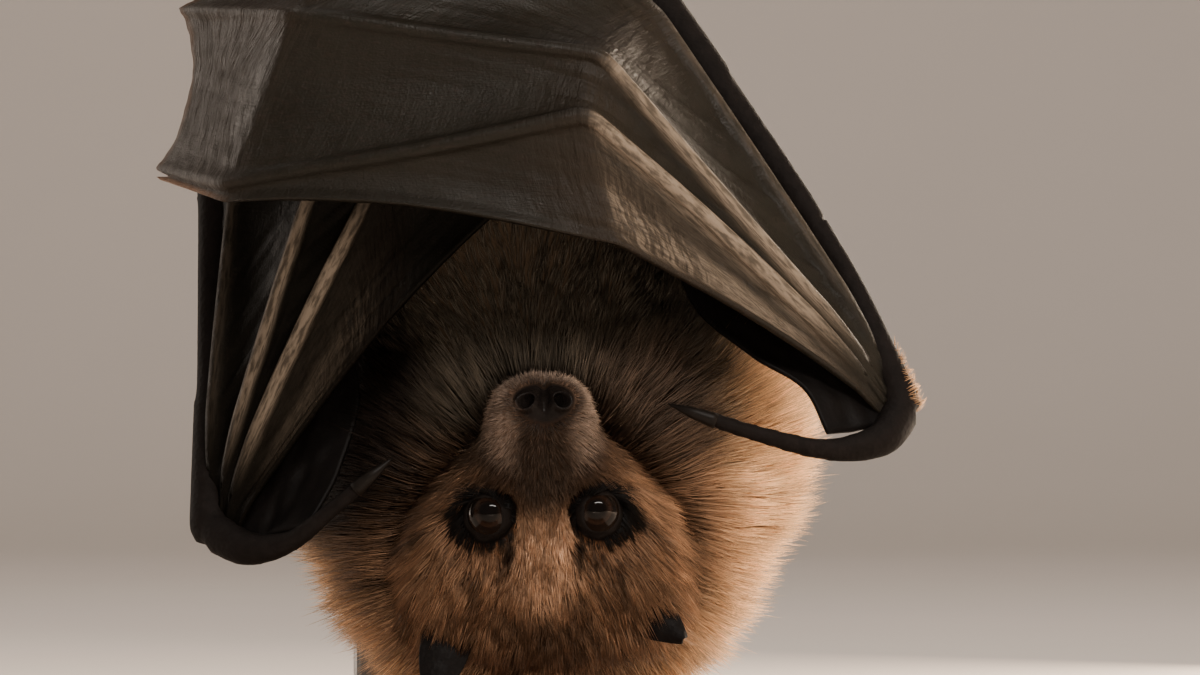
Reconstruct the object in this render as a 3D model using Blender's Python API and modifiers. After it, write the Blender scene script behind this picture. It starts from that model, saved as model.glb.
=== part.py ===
"""Life-size display model of a golden fruit bat hanging head down from a branch, wrapped in its wings.

Axes: +X to the viewer's right, -Y towards the viewer, +Z up; the origin is under the stand's base, centred.
Every body measure is in millimetres in the source and becomes metres in point() and body().
"""
import math

import bmesh
import bpy
from mathutils import Matrix, Vector

MM = 0.001
GAP = 0.3  # clearance between neighbouring solids

# ---- the stand and its perch ----
BASE_SIZE = (208.0, 184.0, 14.0)
BASE_CORNER = 26.0
UPRIGHT_AT = (-32.0, 76.0)
UPRIGHT_RADIUS = 4.5
UPRIGHT_TOP = 331.0
ARM_RADIUS = 3.5
COLLAR_RADIUS = 8.0
COLLAR_HEIGHT = 18.0
PERCH_CENTRE = (-35.0, 12.0, 318.0)
PERCH_LENGTH = 132.0
PERCH_RADIUS = 8.5

# ---- the hanging body: its axis leans towards the viewer's left, from the neck up to the feet ----
BODY_ORIGIN = Vector((11.4, 0.0, 120.4))
BODY_LEAN = math.radians(13.0)
BODY_UP = Vector((-math.sin(BODY_LEAN), 0.0, math.cos(BODY_LEAN)))
BODY_SIDE = Vector((math.cos(BODY_LEAN), 0.0, math.sin(BODY_LEAN)))

# ---- the head: snout tipped up towards the chest, crown towards the viewer ----
EYE_MIDDLE = Vector((9.5, -36.0, 111.3))
HEAD_TIP = math.radians(40.0)
HEAD_ROLL = math.radians(-1.5)
EYE_SPREAD = 11.5
EYE_RADIUS = 5.4
SOCKET_RADIUS = 6.6

# height along the body, shift sideways, half width, front (towards the viewer), back
TORSO_RINGS = (
    (-54.0, -6.0, 15.0, -1.0, 17.0),
    (-46.0, -5.5, 33.0, -15.0, 31.0),
    (-29.0, -4.0, 47.5, -27.0, 43.0),
    (-6.0, 0.0, 59.5, -35.0, 50.0),
    (16.0, 0.5, 56.0, -37.0, 50.0),
    (38.0, 0.0, 45.0, -35.0, 46.0),
    (62.0, 0.0, 36.0, -33.0, 41.0),
    (90.0, 0.0, 32.0, -31.0, 37.0),
    (116.0, 0.0, 29.0, -27.0, 34.0),
    (136.0, 0.0, 22.0, -17.0, 30.0),
    (148.0, 0.0, 10.0, 0.0, 20.0),
)
NECK_CUT = 34.0
WAIST_CUT = 92.0

# place along the snout from the eyes, half width, dorsal reach, ventral reach
HEAD_RINGS = (
    (27.5, 6.6, -3.6, -12.0),
    (24.0, 10.2, -1.6, -17.0),
    (16.0, 12.0, 1.2, -20.0),
    (8.0, 15.5, 4.2, -22.5),
    (0.0, 21.0, 7.6, -25.0),
    (-10.0, 29.0, 12.5, -27.0),
    (-21.0, 32.5, 16.0, -26.0),
    (-32.0, 29.0, 15.0, -21.0),
    (-41.0, 18.0, 9.0, -12.0),
)


def mm(vector):
    return Vector(vector) * MM


def body(side, depth, up):
    """A place in the leaning body's frame, in millimetres: side +X, depth +Y (away), up towards the feet."""
    return BODY_ORIGIN + BODY_SIDE * side + Vector((0, depth, 0)) + BODY_UP * up


def head(lateral, forward, dorsal):
    """A place in the head's frame, in millimetres, with the middle between the eyes at its origin."""
    snout = Vector((0, -math.sin(HEAD_TIP), math.cos(HEAD_TIP)))
    crown = Vector((0, -math.cos(HEAD_TIP), -math.sin(HEAD_TIP)))
    roll = Matrix.Rotation(HEAD_ROLL, 3, "Y")
    return EYE_MIDDLE + roll @ (Vector((1, 0, 0)) * lateral + snout * forward + crown * dorsal)


def clear_scene():
    for obj in list(bpy.data.objects):
        bpy.data.objects.remove(obj, do_unlink=True)


def collection(name):
    made = bpy.data.collections.new(name)
    bpy.context.scene.collection.children.link(made)
    return made


def material(name, colour, roughness, metallic=0.0):
    made = bpy.data.materials.new(name)
    made.use_nodes = True
    shader = made.node_tree.nodes["Principled BSDF"]
    shader.inputs["Base Color"].default_value = (*colour, 1.0)
    shader.inputs["Roughness"].default_value = roughness
    shader.inputs["Metallic"].default_value = metallic
    return made


def add_object(name, mesh, finish=None, helper=False):
    """Links a mesh as a part, or as a helper that only cuts others."""
    obj = bpy.data.objects.new(name, mesh)
    if finish:
        mesh.materials.clear()
        mesh.materials.append(finish)
    (CUTTERS if helper else PARTS).objects.link(obj)
    if helper:
        obj.hide_render = True
        obj.display_type = "WIRE"
    else:
        mesh.shade_smooth()
    return obj


def applied(obj):
    """A mesh of the object with its modifiers applied; the object itself goes."""
    bpy.context.view_layer.update()
    graph = bpy.context.evaluated_depsgraph_get()
    mesh = bpy.data.meshes.new_from_object(obj.evaluated_get(graph))
    mesh.transform(obj.matrix_world)
    bpy.data.objects.remove(obj)
    work = bmesh.new()
    work.from_mesh(mesh)
    bmesh.ops.remove_doubles(work, verts=work.verts, dist=0.02 * MM)
    bmesh.ops.recalc_face_normals(work, faces=work.faces)
    work.to_mesh(mesh)
    work.free()
    return mesh


def loft(rings, smooth=1):
    """A closed mesh through rings of points, rounded with Subdivision Surface."""
    work = bmesh.new()
    edges = []
    for number, ring in enumerate(rings):
        if number == 0:
            verts = bmesh.ops.create_circle(work, segments=len(ring), radius=MM)["verts"]
            edges = [edge for edge in work.edges]
        else:
            grown = bmesh.ops.extrude_edge_only(work, edges=edges)["geom"]
            old = verts
            edges = [item for item in grown if isinstance(item, bmesh.types.BMEdge)]
            new = {item for item in grown if isinstance(item, bmesh.types.BMVert)}
            verts = [next(e.other_vert(v) for e in v.link_edges if e.other_vert(v) in new) for v in old]
            edges = [edge for edge in edges if all(vert in new for vert in edge.verts)]
        for vert, place in zip(verts, ring):
            vert.co = place * MM
    bmesh.ops.holes_fill(work, edges=work.edges, sides=0)
    bmesh.ops.recalc_face_normals(work, faces=work.faces)
    mesh = bpy.data.meshes.new("loft")
    work.to_mesh(mesh)
    work.free()
    obj = add_object("loft", mesh)
    rounding = obj.modifiers.new("rounding", "SUBSURF")
    rounding.levels = smooth
    rounding.render_levels = smooth
    return applied(obj)


def oval(centre, across, forth, half_width, reach_forth, reach_back, sides):
    """A ring round centre: half_width across, and unlike reaches forth and back of it."""
    ring = []
    for number in range(sides):
        turn = 2 * math.pi * number / sides
        reach = reach_forth if math.cos(turn) > 0 else reach_back
        ring.append(centre + across * half_width * math.sin(turn) + forth * reach * math.cos(turn))
    return ring


def torso_form(grow=0.0):
    rings = []
    for up, shift, half_width, front, back in TORSO_RINGS:
        if up in (TORSO_RINGS[0][0], TORSO_RINGS[-1][0]):
            up += math.copysign(2 * grow, up)
        middle = (front + back) / 2
        reach = (back - front) / 2 + grow
        centre = body(shift, middle, up)
        rings.append(oval(centre, BODY_SIDE, Vector((0, 1, 0)), half_width + grow, reach, reach, 12))
    return loft(rings)


def head_form(grow=0.0):
    across = head(1, 0, 0) - head(0, 0, 0)
    crown = head(0, 0, 1) - head(0, 0, 0)
    rings = []
    for forward, half_width, dorsal, ventral in HEAD_RINGS:
        middle = ventral * 0.4 + dorsal * 0.6
        if forward in (HEAD_RINGS[0][0], HEAD_RINGS[-1][0]):
            forward += math.copysign(2 * grow, forward)
        centre = head(0, forward, middle)
        rings.append(
            oval(
                centre, across, crown, half_width + grow,
                dorsal - middle + grow, middle - ventral + grow, 12,
            )
        )
    return loft(rings)


def tube(points, radii, sides=2, grow=0.0, between=2):
    """A limb: a smooth poly line through the points with a radius at each, as a closed mesh."""
    data = bpy.data.curves.new("tube", "CURVE")
    data.dimensions = "3D"
    data.bevel_depth = MM
    data.bevel_resolution = sides
    data.use_fill_caps = True
    spline = data.splines.new("POLY")
    points = list(points)
    points[0] = points[0] + (points[0] - points[1]).normalized() * grow
    points[-1] = points[-1] + (points[-1] - points[-2]).normalized() * grow
    stations = smooth_line(points, radii, between)
    spline.points.add(len(stations) - 1)
    for knot, (place, radius) in zip(spline.points, stations):
        knot.co = (*(place * MM), 1.0)
        knot.radius = radius + grow
    obj = bpy.data.objects.new("tube", data)
    PARTS.objects.link(obj)
    return applied(obj)


def smooth_line(points, radii, between):
    """Stations on a rounded line through the points, with their radii."""
    last = len(points) - 1
    headings = [(points[min(n + 1, last)] - points[max(n - 1, 0)]).normalized() for n in range(last + 1)]
    made = []
    for number in range(last):
        start, end = points[number], points[number + 1]
        reach = (end - start).length
        for step in range(between):
            t = step / between
            place = start * (2 * t**3 - 3 * t * t + 1) + end * (3 * t * t - 2 * t**3)
            place += headings[number] * reach * (t**3 - 2 * t * t + t)
            place += headings[number + 1] * reach * (t**3 - t * t)
            made.append((place, radii[number] * (1 - t) + radii[number + 1] * t))
    made.append((points[last], radii[last]))
    return made


def cut(obj, cutter_mesh, name):
    """Takes the cutter's shape out of the object."""
    knife = add_object(f"cutter_{obj.name}_{name}", cutter_mesh, helper=True)
    difference = obj.modifiers.new(name, "BOOLEAN")
    difference.operation = "DIFFERENCE"
    difference.object = knife
    return obj


def join(obj, grown_mesh, name):
    """Makes the other shape one body with the object."""
    other = add_object(f"joined_{obj.name}_{name}", grown_mesh, helper=True)
    union = obj.modifiers.new(name, "BOOLEAN")
    union.operation = "UNION"
    union.object = other
    return obj


def slice_between(mesh, low, high):
    """The stretch of a closed mesh between two heights along the body, with flat ends."""
    work = bmesh.new()
    work.from_mesh(mesh)
    for height, outwards in ((low, -1.0), (high, 1.0)):
        if height is None:
            continue
        place = body(0, 0, height - outwards * GAP / 2) * MM
        bmesh.ops.bisect_plane(
            work, geom=work.verts[:] + work.edges[:] + work.faces[:], dist=1e-7,
            plane_co=place, plane_no=BODY_UP * outwards, clear_outer=True,
        )
        bmesh.ops.holes_fill(work, edges=work.edges, sides=0)
    bmesh.ops.recalc_face_normals(work, faces=work.faces)
    piece = bpy.data.meshes.new("slice")
    work.to_mesh(piece)
    work.free()
    return piece


# ---- the wings ----
# Each digit runs from the wrist over its knuckle and joint to its tip. Places are (side, depth, up) in the
# body's frame. The right wing (+X) lies over the left one and reaches round the body's far side.
RIGHT = {
    "wrist": (79.0, -20.0, -3.0),
    "elbow": (41.5, 24.0, 108.0),
    "shoulder": (31.0, 2.0, 34.0),
    "bulge": 4.6,
    "fore_edge": ((59.0, -36.0, -7.8), (48.3, -29.0, 13.4), (38.0, -14.0, 30.0)),
    "edge": ((75.5, -25.0, -5.5), (53.9, -38.0, 19.4), (25.5, -55.0, 44.0), (-12.8, -55.0, 61.8),
             (-42.0, -48.0, 70.2), (-57.0, -40.0, 73.0), (-72.5, 2.0, 83.0)),
    "third": ((77.0, -24.0, -3.5), (50.0, -40.5, 39.5), (24.7, -57.0, 73.3), (-14.0, -52.5, 74.0),
              (-40.0, -46.5, 76.0), (-56.0, -41.0, 77.0), (-71.5, 3.0, 85.0)),
    "fourth": ((78.0, -22.5, -1.5), (54.0, -36.5, 41.5), (30.6, -50.0, 85.5), (0.0, -48.0, 97.0),
               (-20.0, -46.0, 105.0), (-34.0, -43.0, 110.0), (-58.5, 2.0, 119.0)),
    "fifth": ((79.0, -20.5, 1.0), (63.0, -17.5, 46.0), (45.5, -15.0, 92.0), (35.0, -28.0, 108.0),
              (26.0, -38.0, 121.0), (10.0, -43.0, 132.0), (-11.0, -41.0, 143.0)),
    "arm": ((79.5, -17.0, 3.0), (67.0, 3.0, 48.0), (42.5, 24.5, 110.0), (39.5, 25.5, 129.0),
            (36.0, 25.0, 148.0), (27.5, 24.0, 166.0), (17.5, 23.0, 182.0)),
}
LEFT = {
    "wrist": (-77.4, -20.0, 4.0),
    "elbow": (-53.0, 26.0, 109.0),
    "shoulder": (-33.0, 2.0, 34.0),
    "bulge": 0.6,
    "fore_edge": ((-55.0, -36.5, -0.5), (-46.0, -28.0, 10.0), (-38.0, -14.0, 28.0)),
    "edge": ((-74.5, -25.5, 0.0), (-46.6, -35.0, 24.7), (-27.4, -41.0, 39.7), (-12.0, -43.5, 50.0),
             (2.0, -43.5, 58.0), (14.0, -42.0, 66.0), (30.0, -35.0, 80.0)),
    "third": ((-75.5, -23.5, 3.0), (-48.9, -33.0, 39.9), (-22.0, -42.5, 71.0), (-8.0, -42.5, 76.0),
              (4.0, -41.5, 80.0), (16.0, -39.5, 84.0), (31.0, -32.0, 88.0)),
    "fourth": ((-76.5, -22.0, 5.0), (-53.0, -30.0, 46.0), (-31.0, -38.0, 82.0), (-18.0, -38.5, 94.0),
               (-6.0, -36.5, 102.0), (6.0, -33.5, 108.0), (22.0, -25.0, 111.0)),
    "fifth": ((-77.2, -20.0, 7.0), (-64.0, -16.5, 50.0), (-50.0, -12.0, 90.0), (-41.0, -19.0, 106.0),
              (-30.0, -24.0, 118.0), (-16.0, -27.0, 128.0), (2.0, -25.0, 138.0)),
    "arm": ((-77.4, -17.0, 9.0), (-66.0, 3.0, 56.0), (-54.0, 26.0, 111.0), (-44.0, 26.0, 131.0),
            (-34.0, 25.5, 152.0), (-30.5, 24.0, 172.0), (-27.5, 23.0, 189.0)),
}
DIGITS = ("edge", "third", "fourth", "fifth", "arm")
# where the membrane's lines fall between two digits, close beside each bone so that it stands up as a ridge
PANEL_STEPS = (0.0, 0.14, 0.5, 0.86)
SPAN_STEPS = 12
SAG = 2.2  # how far the membrane hangs in between two digits
DIGIT_THICK = 3.0
MEMBRANE_SHARE = 0.3
SCALLOP = 0.03  # how far the trailing edge is drawn in between two tips, as a share of a digit's last length


def along(line, share):
    """A place at a share of the way along a digit, whose points are evenly numbered."""
    whole = share * (len(line) - 1)
    number = min(int(whole), len(line) - 2)
    here = whole - number
    return Vector(line[number]).lerp(Vector(line[number + 1]), here)


def wing_place(wing, across, share):
    """across counts digits from the leading edge; share runs from the wrist to the tips."""
    number = min(int(across), len(DIGITS) - 2)
    here = across - number
    hollow = math.sin(math.pi * here)
    share = share * (1 - SCALLOP * hollow * share**6)
    near = along(wing[DIGITS[number]], share)
    far = along(wing[DIGITS[number + 1]], share)
    place = near.lerp(far, here)
    width = (far - near).length
    inwards = Vector((-place.x, -place.y, 0))
    inwards.normalize()
    return place + inwards * min(SAG, 0.12 * width) * hollow


def wing_sheet(name, wing, finish):
    """The hand's membrane from the leading edge to the forearm, with the digits standing up in it."""
    columns = [number + step for number in range(len(DIGITS) - 1) for step in PANEL_STEPS]
    columns.append(len(DIGITS) - 1.0)
    return sheet(
        name, finish, columns, SPAN_STEPS,
        lambda across, share: wing_place(wing, across, share),
        lambda across: 1.0 if across == int(across) and 0 < across < len(DIGITS) - 1 else MEMBRANE_SHARE,
        DIGIT_THICK,
    )


def sheet(name, finish, columns, rows, place_at, share_at, thick):
    """An open grid laid out by place_at and given its wall by Solidify."""
    work = bmesh.new()
    bmesh.ops.create_grid(work, x_segments=len(columns) - 1, y_segments=rows, size=1.0)
    weights = {}
    for vert in work.verts:
        column = round((vert.co.x + 1) / 2 * (len(columns) - 1))
        share = (vert.co.y + 1) / 2
        vert.co = body(*place_at(columns[column], share)) * MM
        weights[vert.index] = share_at(columns[column])
    mesh = bpy.data.meshes.new(name)
    work.to_mesh(mesh)
    work.free()
    obj = add_object(name, mesh, finish)
    group = obj.vertex_groups.new(name="bones")
    for index, weight in weights.items():
        group.add([index], weight, "REPLACE")
    wall = obj.modifiers.new("wall", "SOLIDIFY")
    wall.thickness = thick * MM
    wall.offset = 0.0
    wall.vertex_group = "bones"
    return obj


def clear_scene_of(obj, *forms):
    for number, form in enumerate(forms):
        cut(obj, form, f"gap{number}")


def mirror_x(vector, side):
    return Vector((vector[0] * side, vector[1], vector[2]))


def arm_points(wing):
    return body(*wing["shoulder"]), body(*wing["elbow"]), body(*wing["wrist"])


def upper_arm_form(wing, grow=0.0):
    shoulder, elbow, _ = arm_points(wing)
    middle = shoulder.lerp(elbow, 0.45) + Vector((0, 2.0, 0))
    return tube([shoulder, middle, elbow], [12.0, 9.5, 6.6], 2, grow)


def forearm_form(wing, grow=0.0):
    _, elbow, wrist = arm_points(wing)
    outwards = BODY_SIDE * math.copysign(wing["bulge"], wing["wrist"][0])
    belly = elbow.lerp(wrist, 0.25) + outwards * 0.5
    thin = elbow.lerp(wrist, 0.7) + outwards
    palm = wrist + (wrist - elbow).normalized() * 4.0
    return tube([elbow, belly, thin, wrist, palm], [6.2, 5.6, 4.0, 5.0, 3.6], 2, grow)


THUMB = {
    "right": ((78.0, -21.0, -6.0), (72.0, -29.5, -10.5), (60.0, -36.5, -9.8), (47.0, -41.0, -3.6),
              (36.5, -42.5, 2.5), (28.0, -41.0, 8.0)),
    "left": ((-75.6, -22.0, 2.0), (-69.5, -28.5, -2.5), (-60.0, -34.5, -3.0), (-51.0, -38.5, 1.0),
             (-42.0, -41.5, 5.5), (-33.5, -41.0, 10.0)),
}
THUMB_RADII = (5.0, 4.2, 2.7, 2.2, 2.1)


def thumb_form(side, grow=0.0):
    points = [body(*place) for place in THUMB[side]]
    return tube(points[:5], THUMB_RADII, 2, grow)


def thumb_claw(side):
    points = [body(*place) for place in THUMB[side]]
    start = points[4] - (points[5] - points[4]).normalized() * 1.5
    middle = start.lerp(points[5], 0.55) + Vector((0, -1.2, 0))
    return tube([start, middle, points[5]], [1.9, 1.35, 0.35], 1)


# ---- legs: thigh out to the knee at the back, shin up to the ankle, toes hooked over the perch ----
LEGS = {
    "right": {"hip": (13.0, 12.0, 126.0), "knee": (31.0, 26.0, 149.0), "ankle_x": -20.0},
    "left": {"hip": (-13.0, 12.0, 126.0), "knee": (-27.0, 26.0, 155.0), "ankle_x": -52.0},
}
ANKLE_DEPTH = 21.0
ANKLE_DROP = 15.0  # below the perch's centre


def ankle(side):
    return Vector((LEGS[side]["ankle_x"], ANKLE_DEPTH + 3.0, PERCH_CENTRE[2] - ANKLE_DROP))


def thigh_form(side, grow=0.0):
    hip, knee = body(*LEGS[side]["hip"]), body(*LEGS[side]["knee"])
    return tube([hip, hip.lerp(knee, 0.6), knee], [11.0, 8.5, 6.0], 2, grow)


def shin_form(side, grow=0.0):
    knee = body(*LEGS[side]["knee"])
    end = ankle(side)
    return tube([knee, knee.lerp(end, 0.4), end], [5.6, 4.8, 3.4], 2, grow)


TOE_SPREAD = 3.3
TOE_TURNS = (-38.0, -8.0, 22.0, 50.0, 76.0)  # degrees round the perch, from its back over its top
CLAW_TURNS = (72.0, 102.0, 132.0)


def round_perch(x, turn, reach):
    """A place beside the perch: turn 0 is at its back, 90 at its top."""
    angle = math.radians(turn)
    return Vector((x, PERCH_CENTRE[1] + reach * math.cos(angle), PERCH_CENTRE[2] + reach * math.sin(angle)))


def foot(side, finish):
    """The instep from the ankle with five toes over the perch, joined into one piece."""
    middle = LEGS[side]["ankle_x"]
    start = ankle(side)
    sole = round_perch(middle, -40.0, PERCH_RADIUS + 5.6)
    line = [start + Vector((0, 0, 2.0)), start.lerp(sole, 0.6), sole + Vector((0, 0, 2))]
    instep = tube(line, [3.6, 4.4, 4.4], 2)
    obj = add_object(f"foot_{side}", instep, finish)
    for number in range(5):
        reach = PERCH_RADIUS + 2.2
        x = middle + (number - 2) * TOE_SPREAD
        toe = tube([round_perch(middle + (number - 2) * 1.6, TOE_TURNS[0], reach + 0.6)]
                   + [round_perch(x, turn, reach) for turn in TOE_TURNS[1:]],
                   [1.6, 1.58, 1.52, 1.45, 1.3], 1, between=1)
        join(obj, toe, f"toe{number}")
        line = [round_perch(x, turn, reach + 0.35 * (1 - step)) for step, turn in enumerate(CLAW_TURNS)]
        claw = tube(line, [1.15, 0.95, 0.35], 1, between=1)
        join(obj, claw, f"claw{number}")
    return obj


def ellipsoid(centre, radii, turn=None, segments=12, rings=8):
    work = bmesh.new()
    bmesh.ops.create_uvsphere(work, u_segments=segments, v_segments=rings, radius=1.0)
    mesh = bpy.data.meshes.new("ellipsoid")
    bmesh.ops.scale(work, vec=Vector(radii) * MM, verts=work.verts)
    if turn:
        bmesh.ops.transform(work, matrix=turn.to_4x4(), verts=work.verts)
    bmesh.ops.translate(work, vec=centre * MM, verts=work.verts)
    work.to_mesh(mesh)
    work.free()
    return mesh


def eye_place(side):
    return head(side * EYE_SPREAD, 0.5, 1.6)


EARS = {
    1: {"root": (13.0, -21.0, 8.0), "tip": Vector((40.5, -33.0, 82.0)), "width": 8.0},
    -1: {"root": (-12.0, -22.0, 8.0), "tip": Vector((-14.5, -33.0, 68.5)), "width": 8.0},
}


def ear(side, name, finish):
    """A leaf-shaped cup, rolled at its root and pointed at its tip."""
    root = head(*EARS[side]["root"])
    tip = EARS[side]["tip"]
    width = EARS[side]["width"]
    reach = tip - root
    towards = reach.normalized()
    across = towards.cross(Vector((0, -1, 0))).normalized()
    facing = across.cross(towards)
    work = bmesh.new()
    bmesh.ops.create_grid(work, x_segments=5, y_segments=6, size=1.0)
    for vert in work.verts:
        span, rise = vert.co.x, (vert.co.y + 1) / 2
        breadth = width * math.sin(math.pi * (0.14 + 0.80 * rise)) ** 0.8
        cup = 3.6 * (1 - rise * 0.6) * span * span
        vert.co = (root + reach * rise + across * span * breadth - facing * cup) * MM
    mesh = bpy.data.meshes.new(name)
    work.to_mesh(mesh)
    work.free()
    obj = add_object(name, mesh, finish)
    wall = obj.modifiers.new("wall", "SOLIDIFY")
    wall.thickness = 1.0 * MM
    wall.offset = 0.0
    return obj


def membrane_between(name, finish, outer, inner, rows, columns=6):
    """A sheet between two lines given in the body's frame, for the small membranes beside the arm."""
    return sheet(
        name, finish, [number / columns for number in range(columns + 1)], rows,
        lambda across, share: along(outer, share).lerp(along(inner, share), across),
        lambda across: 1.0, 1.0,
    )


def make_wing(side, wing, torso, mirrored):
    """One wing: its arm, thumb, hand membrane and the two membranes beside the arm."""
    upper = add_object(f"upper_arm_{side}", upper_arm_form(wing), FUR)
    cut(upper, torso, "torso")
    fore = add_object(f"forearm_{side}", forearm_form(wing), SKIN)
    cut(fore, upper_arm_form(wing, GAP), "upper")
    thumb = add_object(f"thumb_{side}", thumb_form(side), SKIN)
    cut(thumb, forearm_form(wing, GAP), "forearm")
    join(thumb, thumb_claw(side), "claw")

    hand = wing_sheet(f"wing_{side}", wing, MEMBRANE)
    cut(hand, forearm_form(wing, GAP), "forearm")
    cut(hand, upper_arm_form(wing, GAP), "upper")
    cut(hand, thumb_form(side, GAP), "thumb")

    # in front of the arm: from the wrist and the thumb's root to the shoulder, open along its lower edge
    sx = mirrored
    shoulder, elbow, wrist = wing["shoulder"], wing["elbow"], wing["wrist"]
    outer = [tuple(Vector(wrist).lerp(Vector(elbow), t)) for t in (0.2, 0.42, 0.64, 0.8, 0.93)]
    outer.insert(0, (wrist[0] - 3.0 * sx, wrist[1] - 3.0, wrist[2] - 5.5))
    inner = list(wing["fore_edge"])
    inner += [tuple(Vector(shoulder).lerp(Vector(elbow), t)) for t in (0.5, 0.72, 0.93)]
    fold = membrane_between(f"fore_membrane_{side}", MEMBRANE, outer, inner, 8, 4)
    cut(fold, torso, "torso")
    cut(fold, upper_arm_form(wing, GAP), "upper")
    cut(fold, forearm_form(wing, GAP), "forearm")
    cut(fold, thumb_form(side, GAP), "thumb")

    # behind the arm, from the elbow and the wing's upper edge in to the flank
    before_knee = Vector(wing["arm"][3]).lerp(Vector(wing["arm"][4]), 0.45)
    rim = (wing["arm"][2], wing["arm"][3], before_knee)
    edge = [tuple(Vector(place) + Vector((-0.8 * sx, 0.8, 0))) for place in rim]
    flank = [(20.0 * sx, 17.0, 88.0), (18.0 * sx, 18.0, 103.0), (16.0 * sx, 18.0, 115.0)]
    return membrane_between(f"flank_membrane_{side}", MEMBRANE, edge, flank, 5, 4)


def make_wings():
    for side, wing, mirrored in (("right", RIGHT, 1), ("left", LEFT, -1)):
        grown = torso_form(GAP)
        back = make_wing(side, wing, grown, mirrored)
        cut(back, grown.copy(), "torso")
        cut(back, upper_arm_form(wing, GAP), "upper")
        cut(back, thigh_form(side, GAP), "thigh")
        cut(bpy.data.objects[f"wing_{side}"], shin_form(side, GAP), "shin")
        cut(bpy.data.objects[f"wing_{side}"], thigh_form(side, GAP), "thigh")


def make_head():
    skull = add_object("head", head_form(), FUR)
    for side, name in ((1, "right"), (-1, "left")):
        cut(skull, ellipsoid(eye_place(side), (SOCKET_RADIUS,) * 3), f"socket{name}")
        add_object(f"eye_{name}", ellipsoid(eye_place(side), (EYE_RADIUS,) * 3), EYE)
        ear(side, f"ear_{name}", SKIN)
        cut(bpy.data.objects[f"ear_{name}"], head_form(GAP), "head")


def make_torso():
    whole = torso_form()
    neck = add_object("neck", slice_between(whole, None, NECK_CUT), FUR)
    cut(neck, head_form(GAP), "head")
    add_object("chest", slice_between(whole, NECK_CUT, WAIST_CUT), FUR)
    add_object("abdomen", slice_between(whole, WAIST_CUT, None), FUR)


def make_legs():
    grown = torso_form(GAP)
    for side in LEGS:
        thigh = add_object(f"thigh_{side}", thigh_form(side), FUR)
        cut(thigh, grown.copy(), "torso")
        shin = add_object(f"shin_{side}", shin_form(side), SKIN)
        cut(shin, thigh_form(side, GAP), "thigh")
        toes = foot(side, SKIN)
        cut(toes, shin_form(side, GAP), "shin")


def make_stand():
    work = bmesh.new()
    bmesh.ops.create_cube(work, size=1.0)
    bmesh.ops.scale(work, vec=Vector(BASE_SIZE) * MM, verts=work.verts)
    bmesh.ops.translate(work, vec=(0, 0, BASE_SIZE[2] / 2 * MM), verts=work.verts)
    height = BASE_SIZE[2] * MM
    corners = [e for e in work.edges if abs(e.verts[0].co.z - e.verts[1].co.z) > 0.5 * height]
    bmesh.ops.bevel(work, geom=corners, offset=BASE_CORNER * MM, segments=5, profile=0.5, affect="EDGES")
    mesh = bpy.data.meshes.new("stand_base")
    work.to_mesh(mesh)
    work.free()
    base = add_object("stand_base", mesh, WOOD)
    cut(base, rod(UPRIGHT_RADIUS + GAP, (*UPRIGHT_AT, 4.0 - GAP), (*UPRIGHT_AT, 60.0)), "upright")
    add_object("stand_upright", rod(UPRIGHT_RADIUS, (*UPRIGHT_AT, 4.0), (*UPRIGHT_AT, UPRIGHT_TOP)), METAL)
    arm_height = PERCH_CENTRE[2]
    inner = PERCH_CENTRE[1] + PERCH_RADIUS - 5.0
    start = (UPRIGHT_AT[0], UPRIGHT_AT[1] - UPRIGHT_RADIUS - GAP, arm_height)
    end = (UPRIGHT_AT[0], inner, arm_height)
    low = (*UPRIGHT_AT, arm_height - COLLAR_HEIGHT / 2)
    high = (*UPRIGHT_AT, arm_height + COLLAR_HEIGHT / 2)
    arm = add_object("stand_arm", rod(COLLAR_RADIUS, low, high), METAL)
    join(arm, rod(ARM_RADIUS, start, end), "arm")
    cut(arm, rod(UPRIGHT_RADIUS + GAP, (*UPRIGHT_AT, 60.0), (*UPRIGHT_AT, UPRIGHT_TOP + 20)), "upright")


def rod(radius, start, end, segments=20):
    start, end = mm(start), mm(end)
    work = bmesh.new()
    bmesh.ops.create_cone(
        work, cap_ends=True, segments=segments, radius1=radius * MM, radius2=radius * MM,
        depth=(end - start).length,
    )
    turn = (end - start).to_track_quat("Z", "Y").to_matrix().to_4x4()
    bmesh.ops.transform(work, matrix=Matrix.Translation((start + end) / 2) @ turn, verts=work.verts)
    mesh = bpy.data.meshes.new("rod")
    work.to_mesh(mesh)
    work.free()
    return mesh


def make_perch():
    """A cut length of branch, a little crooked."""
    x, y, z = PERCH_CENTRE
    half = PERCH_LENGTH / 2
    line = [Vector((x + share * half, y + bend, z + rise)) for share, bend, rise in
            ((-1.0, 1.5, -1.0), (-0.72, 0.5, 0.2), (-0.4, 0.0, 0.0), (0.0, 0.0, 0.0), (0.4, 0.0, 0.0),
             (0.72, 0.4, 0.6), (1.0, -0.5, 2.2))]
    radii = [9.4, 8.7, PERCH_RADIUS, PERCH_RADIUS, PERCH_RADIUS, 8.2, 7.6]
    perch = add_object("perch", tube(line, radii, 3), BARK)
    inner = y + PERCH_RADIUS - 5.0 - GAP
    cut(perch, rod(ARM_RADIUS + GAP, (UPRIGHT_AT[0], inner, z), (UPRIGHT_AT[0], UPRIGHT_AT[1], z)), "arm")


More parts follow.
